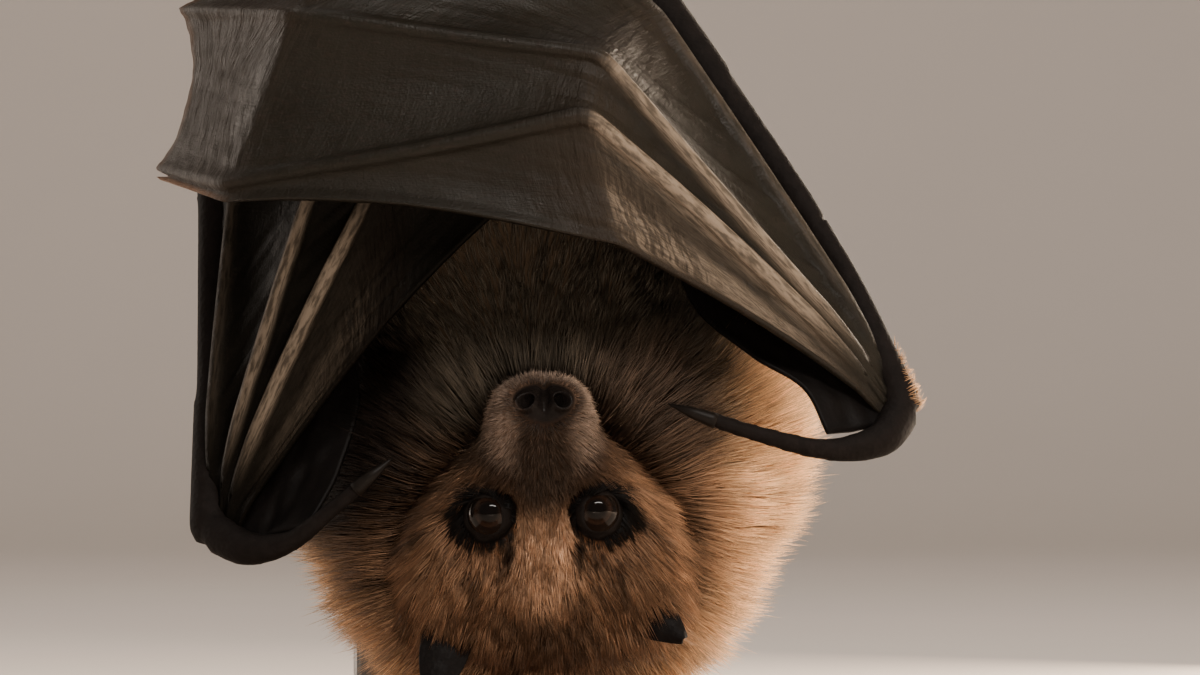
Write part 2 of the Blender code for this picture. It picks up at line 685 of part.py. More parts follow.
clear_scene()
PARTS = collection("fruit_bat")
CUTTERS = collection("cutters")
FUR = material("fur", (0.20, 0.10, 0.045), 0.8)
SKIN = material("dark_skin", (0.018, 0.014, 0.012), 0.5)
MEMBRANE = material("membrane", (0.022, 0.018, 0.016), 0.4)
EYE = material("eye", (0.03, 0.012, 0.006), 0.05)
BARK = material("bark", (0.16, 0.11, 0.075), 0.85)
WOOD = material("stand_wood", (0.10, 0.055, 0.03), 0.4)
METAL = material("stand_metal", (0.25, 0.24, 0.23), 0.35, 1.0)

make_torso()
make_head()
make_wings()
make_legs()
make_stand()
make_perch()
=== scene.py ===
"""The looks of a hanging golden fruit bat on its display stand.

Measures are in millimetres until a mesh is made. Lights, camera and floor are in metres.
The axes are the frame's: +X right, -Y towards the viewer, +Z up.
"""
import math

import bmesh
import bpy
import numpy as np
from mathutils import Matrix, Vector
from mathutils.bvhtree import BVHTree
from mathutils.kdtree import KDTree


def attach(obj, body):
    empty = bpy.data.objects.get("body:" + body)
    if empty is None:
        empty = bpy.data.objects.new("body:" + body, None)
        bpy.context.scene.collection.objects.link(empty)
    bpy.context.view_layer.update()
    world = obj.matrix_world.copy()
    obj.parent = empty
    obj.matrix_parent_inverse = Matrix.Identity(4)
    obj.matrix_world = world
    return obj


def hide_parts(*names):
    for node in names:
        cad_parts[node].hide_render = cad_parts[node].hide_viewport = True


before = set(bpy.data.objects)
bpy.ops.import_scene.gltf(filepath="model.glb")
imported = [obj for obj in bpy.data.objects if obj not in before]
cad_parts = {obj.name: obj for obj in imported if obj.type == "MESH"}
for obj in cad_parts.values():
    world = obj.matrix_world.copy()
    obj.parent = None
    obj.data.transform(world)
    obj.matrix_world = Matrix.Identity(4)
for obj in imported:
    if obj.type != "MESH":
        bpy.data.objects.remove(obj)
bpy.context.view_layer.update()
MM = 0.001

# ---- the body's own frame: its axis leans to the left on the way up to the feet ----
BODY_ORIGIN = np.array((11.4, 0.0, 120.4))
BODY_LEAN = math.radians(13.0)
BODY_UP = np.array((-math.sin(BODY_LEAN), 0.0, math.cos(BODY_LEAN)))
BODY_SIDE = np.array((math.cos(BODY_LEAN), 0.0, math.sin(BODY_LEAN)))
DEPTH = np.array((0.0, 1.0, 0.0))

# ---- the head's own frame: lateral, forward along the snout, dorsal through the crown ----
HEAD_ORIGIN = np.array((9.5, -36.0, 111.3))
HEAD_TIP = math.radians(40.0)
HEAD_ROLL = math.radians(-1.5)
EYE_SPREAD = 11.5
EYE_RADIUS = 5.4
EYE_OPENING = 2.95
EYE_GAZE = (0.07, -1.0, 0.10)
EYE_FORWARD = 0.5
EYE_DORSAL = 1.6
LENS_RISE = 0.35
EYE_FIT = 0.985
NOSE_SHIFT = 1.0


def rolled(vector):
    """A direction turned by the head's roll."""
    x, y, z = vector
    c, s = math.cos(HEAD_ROLL), math.sin(HEAD_ROLL)
    return np.array((c * x + s * z, y, -s * x + c * z))


ACROSS = rolled((1.0, 0.0, 0.0))
SNOUT = rolled((0.0, -math.sin(HEAD_TIP), math.cos(HEAD_TIP)))
CROWN = rolled((0.0, -math.cos(HEAD_TIP), -math.sin(HEAD_TIP)))


def body(place):
    """Places (side, depth, up) in the leaning body's frame."""
    place = np.asarray(place, float)
    return BODY_ORIGIN + place[..., 0:1] * BODY_SIDE + place[..., 1:2] * DEPTH + place[..., 2:3] * BODY_UP


def in_body(points):
    """The (side, depth, up) of places in the leaning body's frame."""
    away = points - BODY_ORIGIN
    return np.stack((away @ BODY_SIDE, away[..., 1], away @ BODY_UP), -1)


def head(place):
    """Places (lateral, forward, dorsal) in the head's frame."""
    place = np.asarray(place, float)
    return HEAD_ORIGIN + place[..., 0:1] * ACROSS + place[..., 1:2] * SNOUT + place[..., 2:3] * CROWN


def in_head(points):
    """The (lateral, forward, dorsal) of places in the head's frame."""
    away = points - HEAD_ORIGIN
    return np.stack((away @ ACROSS, away @ SNOUT, away @ CROWN), -1)


def eye_place(side, dorsal=EYE_DORSAL):
    """An eye's middle in the head's frame; side is 1 for the right and -1 for the left."""
    return np.array((side * EYE_SPREAD, EYE_FORWARD, dorsal))


def smoothstep(low, high, value):
    """Rises from 0 at low to 1 at high; falls where low is the greater."""
    t = np.clip((value - low) / (high - low), 0.0, 1.0)
    return t * t * (3 - 2 * t)


def unit(vectors):
    """Vectors scaled to a length of 1."""
    return vectors / np.maximum(np.linalg.norm(vectors, axis=-1, keepdims=True), 1e-9)


def ripple(points, scale, seed, waves=7):
    """Smooth seeded unevenness from -1 to 1; scale is the size of its features."""
    rng = np.random.default_rng(seed)
    total = np.zeros(points.shape[:-1])
    for _ in range(waves):
        way = unit(rng.normal(size=3))
        total += np.sin(points @ way * (2 * math.pi / (scale * rng.uniform(0.6, 1.7))) + rng.uniform(0, 6.28))
    return total / waves * 1.6


# ---- mesh helpers ----
def show(name, mesh, finish, replaced=()):
    """Links a finished mesh as a piece of the object."""
    obj = bpy.data.objects.new(name, mesh)
    bpy.context.scene.collection.objects.link(obj)
    mesh.materials.clear()
    mesh.materials.append(finish)
    mesh.shade_smooth()
    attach(obj, "root")
    if replaced:
        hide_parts(*replaced)
    return obj


def evaluated(obj):
    """The object's mesh with its modifiers applied; the object goes."""
    bpy.context.view_layer.update()
    graph = bpy.context.evaluated_depsgraph_get()
    mesh = bpy.data.meshes.new_from_object(obj.evaluated_get(graph))
    mesh.transform(obj.matrix_world)
    bpy.data.objects.remove(obj)
    return mesh


def scratch(mesh):
    """A helper object that a later step turns into a mesh."""
    obj = bpy.data.objects.new("making", mesh)
    bpy.context.scene.collection.objects.link(obj)
    return obj


def coordinates(mesh):
    """Vertex places in millimetres."""
    flat = np.empty(len(mesh.vertices) * 3)
    mesh.vertices.foreach_get("co", flat)
    return flat.reshape(-1, 3) / MM


def vertex_normals(mesh):
    """The normal at each vertex."""
    flat = np.empty(len(mesh.vertices) * 3)
    mesh.vertices.foreach_get("normal", flat)
    return flat.reshape(-1, 3)


def place_vertices(mesh, points):
    """Moves the vertices to places in millimetres."""
    mesh.vertices.foreach_set("co", (points * MM).ravel())
    mesh.update()


def store(mesh, name, values, kind="FLOAT"):
    """A per-vertex attribute for the finishes to read."""
    layer = mesh.attributes.new(name, kind, "POINT")
    layer.data.foreach_set("vector" if kind == "FLOAT_VECTOR" else "value", np.asarray(values, "f4").ravel())


def recall(mesh, name):
    """The values of a per-vertex attribute."""
    values = np.empty(len(mesh.vertices), "f4")
    mesh.attributes[name].data.foreach_get("value", values)
    return values


def opened(mesh):
    """A bmesh of the mesh, to work on."""
    work = bmesh.new()
    work.from_mesh(mesh)
    return work


def settled(work, mesh=None):
    """Writes the work to the mesh, or to a new one, and frees it."""
    if mesh is None:
        mesh = bpy.data.meshes.new("form")
    work.to_mesh(mesh)
    work.free()
    return mesh


def loft(rings):
    """A closed mesh through rings of points, rounded once."""
    work = bmesh.new()
    verts = bmesh.ops.create_circle(work, segments=len(rings[0]), radius=MM)["verts"]
    edges = list(work.edges)
    for number, ring in enumerate(rings):
        if number:
            grown = bmesh.ops.extrude_edge_only(work, edges=edges)["geom"]
            new = {item for item in grown if isinstance(item, bmesh.types.BMVert)}
            verts = [next(e.other_vert(v) for e in v.link_edges if e.other_vert(v) in new) for v in verts]
            edges = [e for e in grown if isinstance(e, bmesh.types.BMEdge) and all(v in new for v in e.verts)]
        for vert, place in zip(verts, ring):
            vert.co = place * MM
    bmesh.ops.holes_fill(work, edges=work.edges, sides=0)
    bmesh.ops.subdivide_edges(work, edges=work.edges, cuts=1, smooth=1.0, use_grid_fill=True)
    bmesh.ops.recalc_face_normals(work, faces=work.faces)
    return settled(work)


def oval(centre, across, forth, half_width, reach_forth, reach_back, sides=24):
    """A ring round the centre that reaches further one way than the other."""
    ring = []
    for number in range(sides):
        turn = 2 * math.pi * number / sides
        reach = reach_forth if math.cos(turn) > 0 else reach_back
        ring.append(Vector(centre + across * half_width * math.sin(turn) + forth * reach * math.cos(turn)))
    return ring


def rounded_line(points, radii, between=6):
    """Stations on a rounded line through the points, with their radii."""
    points = [np.asarray(point, float) for point in points]
    last = len(points) - 1
    headings = [unit(points[min(n + 1, last)] - points[max(n - 1, 0)]) for n in range(last + 1)]
    made = []
    for number in range(last):
        start, end = points[number], points[number + 1]
        reach = np.linalg.norm(end - start)
        for t in np.arange(between) / between:
            place = start * (2 * t**3 - 3 * t * t + 1) + end * (3 * t * t - 2 * t**3)
            place = place + headings[number] * reach * (t**3 - 2 * t * t + t)
            place = place + headings[number + 1] * reach * (t**3 - t * t)
            made.append((place, radii[number] * (1 - t) + radii[number + 1] * t))
    made.append((points[last], radii[last]))
    return made


def tube(points, radii, sides=4, between=6):
    """A limb, rod or claw along a rounded line, as a closed mesh."""
    data = bpy.data.curves.new("tube", "CURVE")
    data.dimensions = "3D"
    data.bevel_depth = MM
    data.bevel_resolution = sides
    data.use_fill_caps = True
    spline = data.splines.new("POLY")
    stations = rounded_line(points, radii, between)
    spline.points.add(len(stations) - 1)
    for knot, (place, radius) in zip(spline.points, stations):
        knot.co = (*(place * MM), 1.0)
        knot.radius = radius
    mesh = evaluated(scratch(data))
    work = opened(mesh)
    bmesh.ops.remove_doubles(work, verts=work.verts, dist=0.01 * MM)
    bmesh.ops.recalc_face_normals(work, faces=work.faces)
    return settled(work, mesh)


def merged(meshes):
    """Several meshes as one."""
    work = bmesh.new()
    for mesh in meshes:
        work.from_mesh(mesh)
    return settled(work)


def grid(columns, rows):
    """A plain grid mesh with each vertex's column and row."""
    work = bmesh.new()
    bmesh.ops.create_grid(work, x_segments=columns - 1, y_segments=rows - 1, size=1.0)
    mesh = settled(work)
    flat = coordinates(mesh) * MM
    column = np.rint((flat[:, 0] + 1) / 2 * (columns - 1)).astype(int)
    row = np.rint((flat[:, 1] + 1) / 2 * (rows - 1)).astype(int)
    return mesh, column, row


def lay_uv(mesh, name, uv):
    """A UV map from one value per vertex."""
    layer = mesh.uv_layers.new(name=name)
    loops = np.empty(len(mesh.loops), "i4")
    mesh.loops.foreach_get("vertex_index", loops)
    layer.data.foreach_set("uv", np.asarray(uv, "f4")[loops].ravel())


# ---- finishes ----
class Finish:
    """A Principled material whose nodes are added one by one."""

    def __init__(self, name, roughness=0.6, specular=0.5, **sockets):
        self.material = bpy.data.materials.new(name)
        self.material.use_nodes = True
        self.nodes = self.material.node_tree.nodes
        self.shader = self.nodes["Principled BSDF"]
        self.set(self.shader, {"Roughness": roughness, "Specular IOR Level": specular, **sockets})

    def set(self, node, values):
        for key, value in values.items():
            node.inputs[key].default_value = value

    def link(self, start, end):
        self.material.node_tree.links.new(start, end)

    def add(self, kind, inputs=None, **settings):
        node = self.nodes.new(kind)
        for key, value in settings.items():
            setattr(node, key, value)
        for key, value in (inputs or {}).items():
            if isinstance(value, bpy.types.NodeSocket):
                self.link(value, node.inputs[key])
            else:
                node.inputs[key].default_value = value
        return node

    def place(self):
        return self.add("ShaderNodeTexCoord").outputs["Object"]

    def attribute(self, name, output="Fac"):
        return self.add("ShaderNodeAttribute", attribute_name=name).outputs[output]

    def stretched(self, source, scale):
        node = self.add("ShaderNodeMapping", {"Vector": source, "Scale": scale})
        return node.outputs["Vector"]

    def noise(self, source, scale, detail=3.0, rough=0.55):
        inputs = {"Vector": source, "Scale": scale, "Detail": detail, "Roughness": rough}
        return self.add("ShaderNodeTexNoise", inputs).outputs["Fac"]

    def cells(self, source, scale, feature="F1"):
        node = self.add("ShaderNodeTexVoronoi", {"Vector": source, "Scale": scale}, feature=feature)
        return node.outputs["Distance"]

    def span(self, value, low, high, out_low=0.0, out_high=1.0):
        """Eases a value from low..high to out_low..out_high."""
        inputs = {"Value": value, "From Min": low, "From Max": high, "To Min": out_low, "To Max": out_high}
        return self.add("ShaderNodeMapRange", inputs, interpolation_type="SMOOTHSTEP").outputs["Result"]

    def maths(self, operation, first, second=0.0):
        node = self.add("ShaderNodeMath", {0: first, 1: second}, operation=operation)
        return node.outputs["Value"]

    def mix(self, factor, first, second, blend="MIX"):
        node = self.add("ShaderNodeMix", data_type="RGBA", blend_type=blend)
        for socket, value in ((node.inputs[0], factor), (node.inputs[6], first), (node.inputs[7], second)):
            if isinstance(value, bpy.types.NodeSocket):
                self.link(value, socket)
            elif isinstance(value, float):
                socket.default_value = value
            else:
                socket.default_value = (*value, 1.0)
        return node.outputs[2]

    def bump(self, heights):
        """Bumps in series, each (height, strength, distance in millimetres)."""
        normal = None
        for height, strength, distance in heights:
            inputs = {"Height": height, "Strength": strength, "Distance": distance * MM}
            node = self.add("ShaderNodeBump", inputs)
            if normal:
                self.link(normal, node.inputs["Normal"])
            normal = node.outputs["Normal"]
        self.link(normal, self.shader.inputs["Normal"])

    def colour(self, value):
        self.link(value, self.shader.inputs["Base Color"])

    def rough(self, value):
        self.link(value, self.shader.inputs["Roughness"])


FACE_DARK = (0.044, 0.026, 0.017)
FACE_BROWN = (0.310, 0.178, 0.104)
CROWN_BROWN = (0.075, 0.041, 0.024)
BROW_GOLD = (0.62, 0.39, 0.25)
MANTLE_GOLD = (0.82, 0.54, 0.315)
MANTLE_DEEP = (0.48, 0.27, 0.135)
# dark chest fur, darker still as painted shade
BELLY_DARK_AND_SHADE = (0.056, 0.045, 0.033)
# painted shadow under the left wing
LEFT_WING_SHADOW = (0.014, 0.009, 0.0065)
MUZZLE_GREY = (0.290, 0.218, 0.172)
# the nose bridge's own dark, also used as painted shade behind the right cheek
BRIDGE_DARK_AND_SHADE = (0.060, 0.040, 0.028)
NOSE_DARK = (0.040, 0.029, 0.023)
BACK_BROWN = (0.050, 0.030, 0.019)
BACK_TAN = (0.120, 0.072, 0.043)
BARE_BLACK = (0.005, 0.004, 0.0035)


def coat_markings(finish, place):
    """The coat's colour at a place on the animal, for skin and tufts alike, with painted shade on the chest,
    the throat, under the left wing and behind the right cheek.
    """
    def ball(centre, near, far, squash=(1.0, 1.0, 1.0), turn=None):
        """1 within the near radius, fading to 0 at the far one."""
        centre = tuple(np.asarray(centre) * MM)
        offset = finish.add("ShaderNodeVectorMath", {0: place, 1: centre}, operation="SUBTRACT")
        source = offset.outputs["Vector"]
        if turn is not None:
            spun = finish.add("ShaderNodeVectorRotate", {"Vector": source, "Rotation": turn},
                              rotation_type="EULER_XYZ", invert=True)
            source = spun.outputs["Vector"]
        scaled = finish.add("ShaderNodeVectorMath", {0: source, 1: squash}, operation="MULTIPLY")
        length = finish.add("ShaderNodeVectorMath", {0: scaled.outputs["Vector"]}, operation="LENGTH")
        return finish.span(length.outputs["Value"], near * MM, far * MM, 1.0, 0.0)

    def patch(colour, over, *where):
        return finish.mix(ball(*where), colour, over)

    uneven = finish.noise(place, 90.0, 3.0)
    gold = finish.mix(uneven, MANTLE_DEEP, MANTLE_GOLD)
    back = finish.mix(uneven, BACK_BROWN, BACK_TAN)
    height = finish.add("ShaderNodeSeparateXYZ", {"Vector": place}).outputs["Z"]
    colour = finish.mix(finish.span(height, 0.150, 0.192), gold, back)
    # the chest: dark fur, darkened further with painted shade from the wings
    colour = patch(colour, BELLY_DARK_AND_SHADE, (-8.0, -46.0, 170.0), 56.0, 75.0, (1.0, 0.8, 1.0))
    # the face, darker along the snout and cheeks
    face = finish.mix(finish.span(finish.noise(place, 320.0, 3.0), 0.25, 0.62), FACE_DARK, FACE_BROWN)
    face = patch(face, FACE_DARK, head((0, 20.0, -4.0)), 10.0, 24.0)
    colour = patch(colour, face, head((-2.5, -7.0, 0.0)), 30.0, 41.0, (1.0, 0.65, 1.0))
    # the throat, behind the muzzle: dark fur, darkened further with painted shade
    colour = patch(colour, BELLY_DARK_AND_SHADE, (-8.0, 10.0, 180.0), 58.0, 74.0, (1.0, 0.8, 1.0))
    # painted shadow under the left wing, painted shade beside the right cheek, and a darker brown patch on
    # the crown
    colour = patch(colour, LEFT_WING_SHADOW, (-33.0, -28.0, 125.0), 19.0, 31.0, (1.0, 0.6, 0.9))
    # painted shade on the mantle behind the right cheek
    colour = patch(colour, BRIDGE_DARK_AND_SHADE, (26.0, -13.0, 130.0), 9.0, 20.0)
    colour = patch(colour, CROWN_BROWN, (10.0, -46.0, 81.0), 8.0, 20.0, (0.8, 0.6, 1.0))
    # the golden stripe over the brow and down between the eyes
    tilt = (-HEAD_TIP, 0.0, 0.0)
    brow = finish.mix(finish.span(finish.noise(place, 260.0, 2.0), 0.25, 0.55), FACE_BROWN, BROW_GOLD)
    colour = patch(colour, brow, head((0.3, -4.5, 10.5)), 4.0, 13.5, (1.50, 0.80, 0.9), tilt)
    colour = patch(colour, brow, head((0.3, 1.5, 9.0)), 2.0, 7.5, (1.75, 0.80, 0.9), tilt)
    # muzzle, its bridge, and the nose
    colour = patch(colour, MUZZLE_GREY, head((0.5, 24.0, -6.0)), 10.0, 16.0)
    colour = patch(colour, BRIDGE_DARK_AND_SHADE, head((0.8, 17.5, 1.0)), 5.0, 10.5, (1.25, 0.62, 1.0), tilt)
    colour = patch(colour, NOSE_DARK, head((NOSE_SHIFT, 27.0, -5.4)), 5.7, 8.4, (0.95, 1.0, 1.2), tilt)
    # the lids and the inner corners of the eyes
    for side in (-1, 1):
        lid = head((side * (EYE_SPREAD + 2.2), 1.2, 3.6))
        colour = patch(colour, BARE_BLACK, lid, 6.1, 7.7, (0.86, 1.0, 1.0))
        inner_corner = head((side * (EYE_SPREAD - 4.4), -4.2, 7.6))
        colour = patch(colour, BARE_BLACK, inner_corner, 1.2, 3.6, (1.5, 0.8, 0.8))
    return colour


def make_skin_finish():
    """Dull and marked like the coat where hair covers it, black leather where bare, moist on the nose."""
    finish = Finish("coated_skin", 0.55, 0.09)
    place = finish.place()
    bare = finish.attribute("bare")
    leather = finish.mix(finish.noise(place, 400.0), BARE_BLACK, (0.013, 0.010, 0.009))
    under = finish.mix(1.0, coat_markings(finish, place), (0.55, 0.45, 0.38), "MULTIPLY")
    finish.colour(finish.mix(bare, under, leather))
    dry = finish.span(bare, 0.0, 1.0, 0.8, 0.68)
    finish.rough(finish.maths("SUBTRACT", dry, finish.maths("MULTIPLY", finish.attribute("wet"), 0.42)))
    wrinkles = finish.cells(place, 900.0)
    finish.bump([(wrinkles, 0.35, 0.35), (finish.noise(place, 1800.0), 0.25, 0.2)])
    return finish.material


def make_coat_finish():
    """Hair that darkens to its root and pales to its tip, unevenly from lock to lock."""
    finish = Finish("coat", 0.62, 0.28)
    root = finish.attribute("root", "Vector")
    along = finish.attribute("along")
    shade = finish.attribute("shade")
    colour = coat_markings(finish, root)
    dark = finish.mix(1.0, colour, (0.46, 0.38, 0.33), "MULTIPLY")
    pale = finish.mix(1.0, colour, (1.7, 1.55, 1.4), "MULTIPLY")
    colour = finish.mix(finish.span(along, 0.05, 0.75), dark, colour)
    colour = finish.mix(finish.maths("MULTIPLY", finish.span(along, 0.5, 1.0), shade), colour, pale)
    value = finish.span(shade, 0.0, 1.0, 0.55, 1.4)
    hue = finish.add("ShaderNodeHueSaturation", {"Value": value, "Color": colour})
    finish.colour(hue.outputs["Color"])
    return finish.material


def make_wing_finish(name, shade_tone):
    """Thin dark skin, stretched in fine lines along the fingers and creased across near the joints; the shade
    tone darkens a whole copy, and lowers its specular, as painted shade.
    """
    finish = Finish(name, 0.42, 0.24 * shade_tone)
    lay = finish.add("ShaderNodeUVMap", uv_map="lay").outputs["UV"]
    place = finish.place()
    crease = finish.attribute("crease")
    rim = finish.attribute("rim")
    streaks = finish.noise(finish.stretched(lay, (1.0, 0.07, 1.0)), 820.0, 4.0, 0.6)
    across = finish.noise(finish.stretched(lay, (0.30, 1.0, 1.0)), 150.0, 4.0, 0.65)
    grain = finish.cells(place, 1500.0)
    blotch = finish.noise(place, 60.0, 3.0)
    base = finish.mix(blotch, (0.0070, 0.0062, 0.0045), (0.0170, 0.0148, 0.0105))
    base = finish.mix(finish.span(streaks, 0.45, 0.75), base, (0.018, 0.013, 0.010))
    base = finish.mix(finish.maths("MULTIPLY", crease, 0.45), base, (0.036, 0.025, 0.018))
    # painted shade: the whole wing's colour is scaled by its shade tone
    base = finish.mix(1.0, base, (shade_tone, shade_tone, shade_tone), "MULTIPLY")
    # pale skin lies along the long bones of the palm, brightened further as a painted highlight, with painted
    # shade in its wrinkles
    wrinkled = finish.span(crease, 0.40, 0.80)
    shadowed = finish.maths("MULTIPLY", wrinkled, finish.span(across, 0.56, 0.44))
    lit = finish.maths("SUBTRACT", 1.0, finish.maths("MULTIPLY", shadowed, 0.75))
    lines = finish.maths("MULTIPLY", finish.span(streaks, 0.36, 0.60, 0.30, 1.0), lit)
    dust_and_sheen = finish.maths("MULTIPLY", finish.attribute("dust_and_sheen"), lines)
    base = finish.mix(dust_and_sheen, base, (0.235, 0.180, 0.132))
    # painted lit rim: orange-brown along the free edge past the last joint and round the tips
    finish.colour(finish.mix(rim, base, (0.22, 0.105, 0.045)))
    finish.rough(finish.span(finish.noise(place, 220.0), 0.3, 0.7, 0.34, 0.56))
    folds = finish.maths("MULTIPLY", across, crease)
    finish.bump([(folds, 0.9, 1.3), (streaks, 0.45, 0.30), (grain, 0.35, 0.18)])
    return finish.material


def make_arm_membrane_finish():
    """Plain, almost black skin: dark skin, darkened further as painted shade."""
    finish = Finish("arm_membrane", 0.6, 0.2)
    place = finish.place()
    finish.colour(finish.mix(finish.noise(place, 200.0), (0.002, 0.0016, 0.0014), (0.006, 0.0045, 0.004)))
    finish.bump([(finish.noise(place, 900.0), 0.4, 0.3)])
    return finish.material


def make_ear_finish():
    """Dull black leather with a fine grain."""
    finish = Finish("ear_skin", 0.66, 0.2)
    place = finish.place()
    finish.colour(finish.mix(finish.noise(place, 300.0), (0.0025, 0.002, 0.002), (0.007, 0.0055, 0.005)))
    finish.rough(finish.span(finish.noise(place, 500.0), 0.3, 0.7, 0.58, 0.78))
    finish.bump([(finish.cells(place, 1100.0), 0.5, 0.3), (finish.noise(place, 2200.0), 0.3, 0.15)])
    return finish.material


def make_eye_finish():
    """Pupil, iris and dark white, by the angle away from the gaze."""
    finish = Finish("eye", 0.05, 0.28)
    gaze = finish.attribute("gaze")
    rays = finish.noise(finish.place(), 1400.0, 4.0, 0.7)
    iris = finish.mix(rays, (0.009, 0.005, 0.0035), (0.024, 0.0125, 0.008))
    colour = finish.mix(finish.span(gaze, 0.30, 0.60), (0.003, 0.002, 0.0015), iris)
    finish.colour(finish.mix(finish.span(gaze, 0.62, 0.75), colour, (0.006, 0.004, 0.003)))
    return finish.material


def make_claw_finish():
    """Dark horn."""
    finish = Finish("claw", 0.45, 0.18)
    place = finish.place()
    finish.colour(finish.mix(finish.noise(place, 500.0), (0.004, 0.003, 0.0025), (0.013, 0.010, 0.008)))
    finish.bump([(finish.noise(place, 1500.0), 0.2, 0.1)])
    return finish.material


def make_bark_finish():
    """Ridged bark with lichen, and pale wood where it is sawn."""
    finish = Finish("bark", 0.88, 0.25)
    place = finish.place()
    long = finish.stretched(place, (0.12, 1.0, 1.0))
    ridges = finish.noise(long, 420.0, 6.0, 0.65)
    patches = finish.noise(place, 55.0, 4.0)
    colour = finish.mix(finish.span(ridges, 0.3, 0.7), (0.040, 0.026, 0.018), (0.22, 0.155, 0.105))
    lichen = finish.maths("MULTIPLY", finish.span(patches, 0.56, 0.68), finish.span(ridges, 0.4, 0.6))
    colour = finish.mix(lichen, colour, (0.30, 0.31, 0.22))
    finish.colour(finish.mix(finish.attribute("sawn"), colour, (0.52, 0.37, 0.22)))
    finish.bump([(ridges, 0.8, 1.0), (finish.noise(place, 1400.0), 0.4, 0.3)])
    return finish.material


def make_wood_finish():
    """Varnished dark wood with rings and pores."""
    finish = Finish("stand_wood", 0.36, 0.5)
    finish.set(finish.shader, {"Coat Weight": 0.35, "Coat Roughness": 0.18})
    place = finish.place()
    waves = {"Scale": 24.0, "Distortion": 9.0, "Detail": 4.0, "Detail Scale": 1.4}
    waves["Vector"] = finish.stretched(place, (0.10, 1.0, 1.0))
    rings = finish.add("ShaderNodeTexWave", waves, bands_direction="Y").outputs["Fac"]
    pores = finish.noise(finish.stretched(place, (0.05, 1.0, 1.0)), 900.0, 3.0)
    colour = finish.mix(rings, (0.085, 0.040, 0.020), (0.185, 0.092, 0.045))
    finish.colour(finish.mix(finish.span(pores, 0.52, 0.7), colour, (0.035, 0.016, 0.008)))
    finish.rough(finish.span(pores, 0.3, 0.7, 0.30, 0.46))
    finish.bump([(pores, 0.12, 0.2)])
    return finish.material


def make_metal_finish():
    """Brushed steel."""
    finish = Finish("stand_metal", 0.32, 0.5)
    finish.set(finish.shader, {"Metallic": 1.0})
    place = finish.place()
    brushed = finish.noise(finish.stretched(place, (1.0, 1.0, 0.03)), 1600.0, 3.0)
    finish.colour(finish.mix(brushed, (0.16, 0.155, 0.15), (0.30, 0.29, 0.28)))
    finish.rough(finish.span(brushed, 0.3, 0.7, 0.26, 0.42))
    finish.bump([(brushed, 0.08, 0.1)])
    return finish.material


# ---- flesh: each form lies inside its solid by the depth of the coat ----
# height along the body, shift sideways, half width, front, back, depth of the coat
TORSO_RINGS = (
    (-54.0, -6.0, 15.0, -1.0, 17.0, 9.0),
    (-46.0, -5.5, 33.0, -15.0, 31.0, 10.0),
    (-29.0, -4.0, 47.5, -27.0, 43.0, 11.0),
    (-6.0, 0.0, 59.5, -35.0, 50.0, 12.0),
    (16.0, 0.5, 56.0, -37.0, 50.0, 11.0),
    (38.0, 0.0, 45.0, -35.0, 46.0, 9.0),
    (62.0, 0.0, 36.0, -33.0, 41.0, 7.0),
    (90.0, 0.0, 32.0, -31.0, 37.0, 6.0),
    (116.0, 0.0, 29.0, -27.0, 34.0, 6.0),
    (136.0, 0.0, 22.0, -17.0, 30.0, 6.0),
    (148.0, 0.0, 10.0, 0.0, 20.0, 4.0),
)
THINNEST = 3.0
# place along the snout from the eyes, half width, dorsal reach, ventral reach, depth of the coat
HEAD_RINGS = (
    (27.5, 6.6, -3.6, -12.0, 0.2),
    (24.0, 10.2, -1.6, -17.0, 0.5),
    (16.0, 12.0, 1.2, -20.0, 1.0),
    (8.0, 15.5, 4.2, -22.5, 1.6),
    (0.0, 21.0, 7.6, -25.0, 2.4),
    (-10.0, 29.0, 12.5, -27.0, 4.0),
    (-21.0, 32.5, 16.0, -26.0, 5.0),
    (-32.0, 29.0, 15.0, -21.0, 5.0),
    (-41.0, 18.0, 9.0, -12.0, 5.0),
)
RIGHT = {
    "wrist": (79.0, -20.0, -3.0),
    "elbow": (41.5, 24.0, 108.0),
    "shoulder": (31.0, 2.0, 34.0),
    "bulge": 4.6,
    "fore_edge": ((60.8, -36.0, -6.4), (58.0, -33.0, 4.6), (48.8, -29.0, 13.8), (38.0, -14.0, 30.0)),
    "edge": ((75.5, -25.0, -5.5), (53.9, -38.0, 19.4), (25.5, -55.0, 44.0), (-12.8, -55.0, 61.8),
             (-42.0, -48.0, 70.2), (-57.0, -40.0, 73.0), (-72.5, 2.0, 83.0)),
    "third": ((77.0, -24.0, -3.5), (50.0, -40.5, 39.5), (24.7, -57.0, 73.3), (-14.0, -52.5, 74.0),
              (-40.0, -46.5, 76.0), (-56.0, -41.0, 77.0), (-71.5, 3.0, 85.0)),
    "fourth": ((78.0, -22.5, -1.5), (54.0, -36.5, 41.5), (30.6, -50.0, 85.5), (0.0, -48.0, 97.0),
               (-20.0, -46.0, 105.0), (-34.0, -43.0, 110.0), (-58.5, 2.0, 119.0)),
    "fifth": ((79.0, -20.5, 1.0), (63.0, -17.5, 46.0), (45.5, -15.0, 92.0), (35.0, -28.0, 108.0),
              (26.0, -38.0, 121.0), (10.0, -43.0, 132.0), (-11.0, -41.0, 143.0)),
    "arm": ((79.5, -17.0, 3.0), (67.0, 3.0, 48.0), (42.5, 24.5, 110.0), (39.5, 25.5, 129.0),
            (36.0, 25.0, 148.0), (27.5, 24.0, 166.0), (17.5, 23.0, 182.0)),
    "thumb": ((78.0, -21.0, -6.0), (72.0, -29.5, -10.5), (60.0, -36.5, -9.8), (47.0, -41.0, -3.6),
              (36.5, -42.5, 2.5), (28.0, -41.0, 8.0)),
}
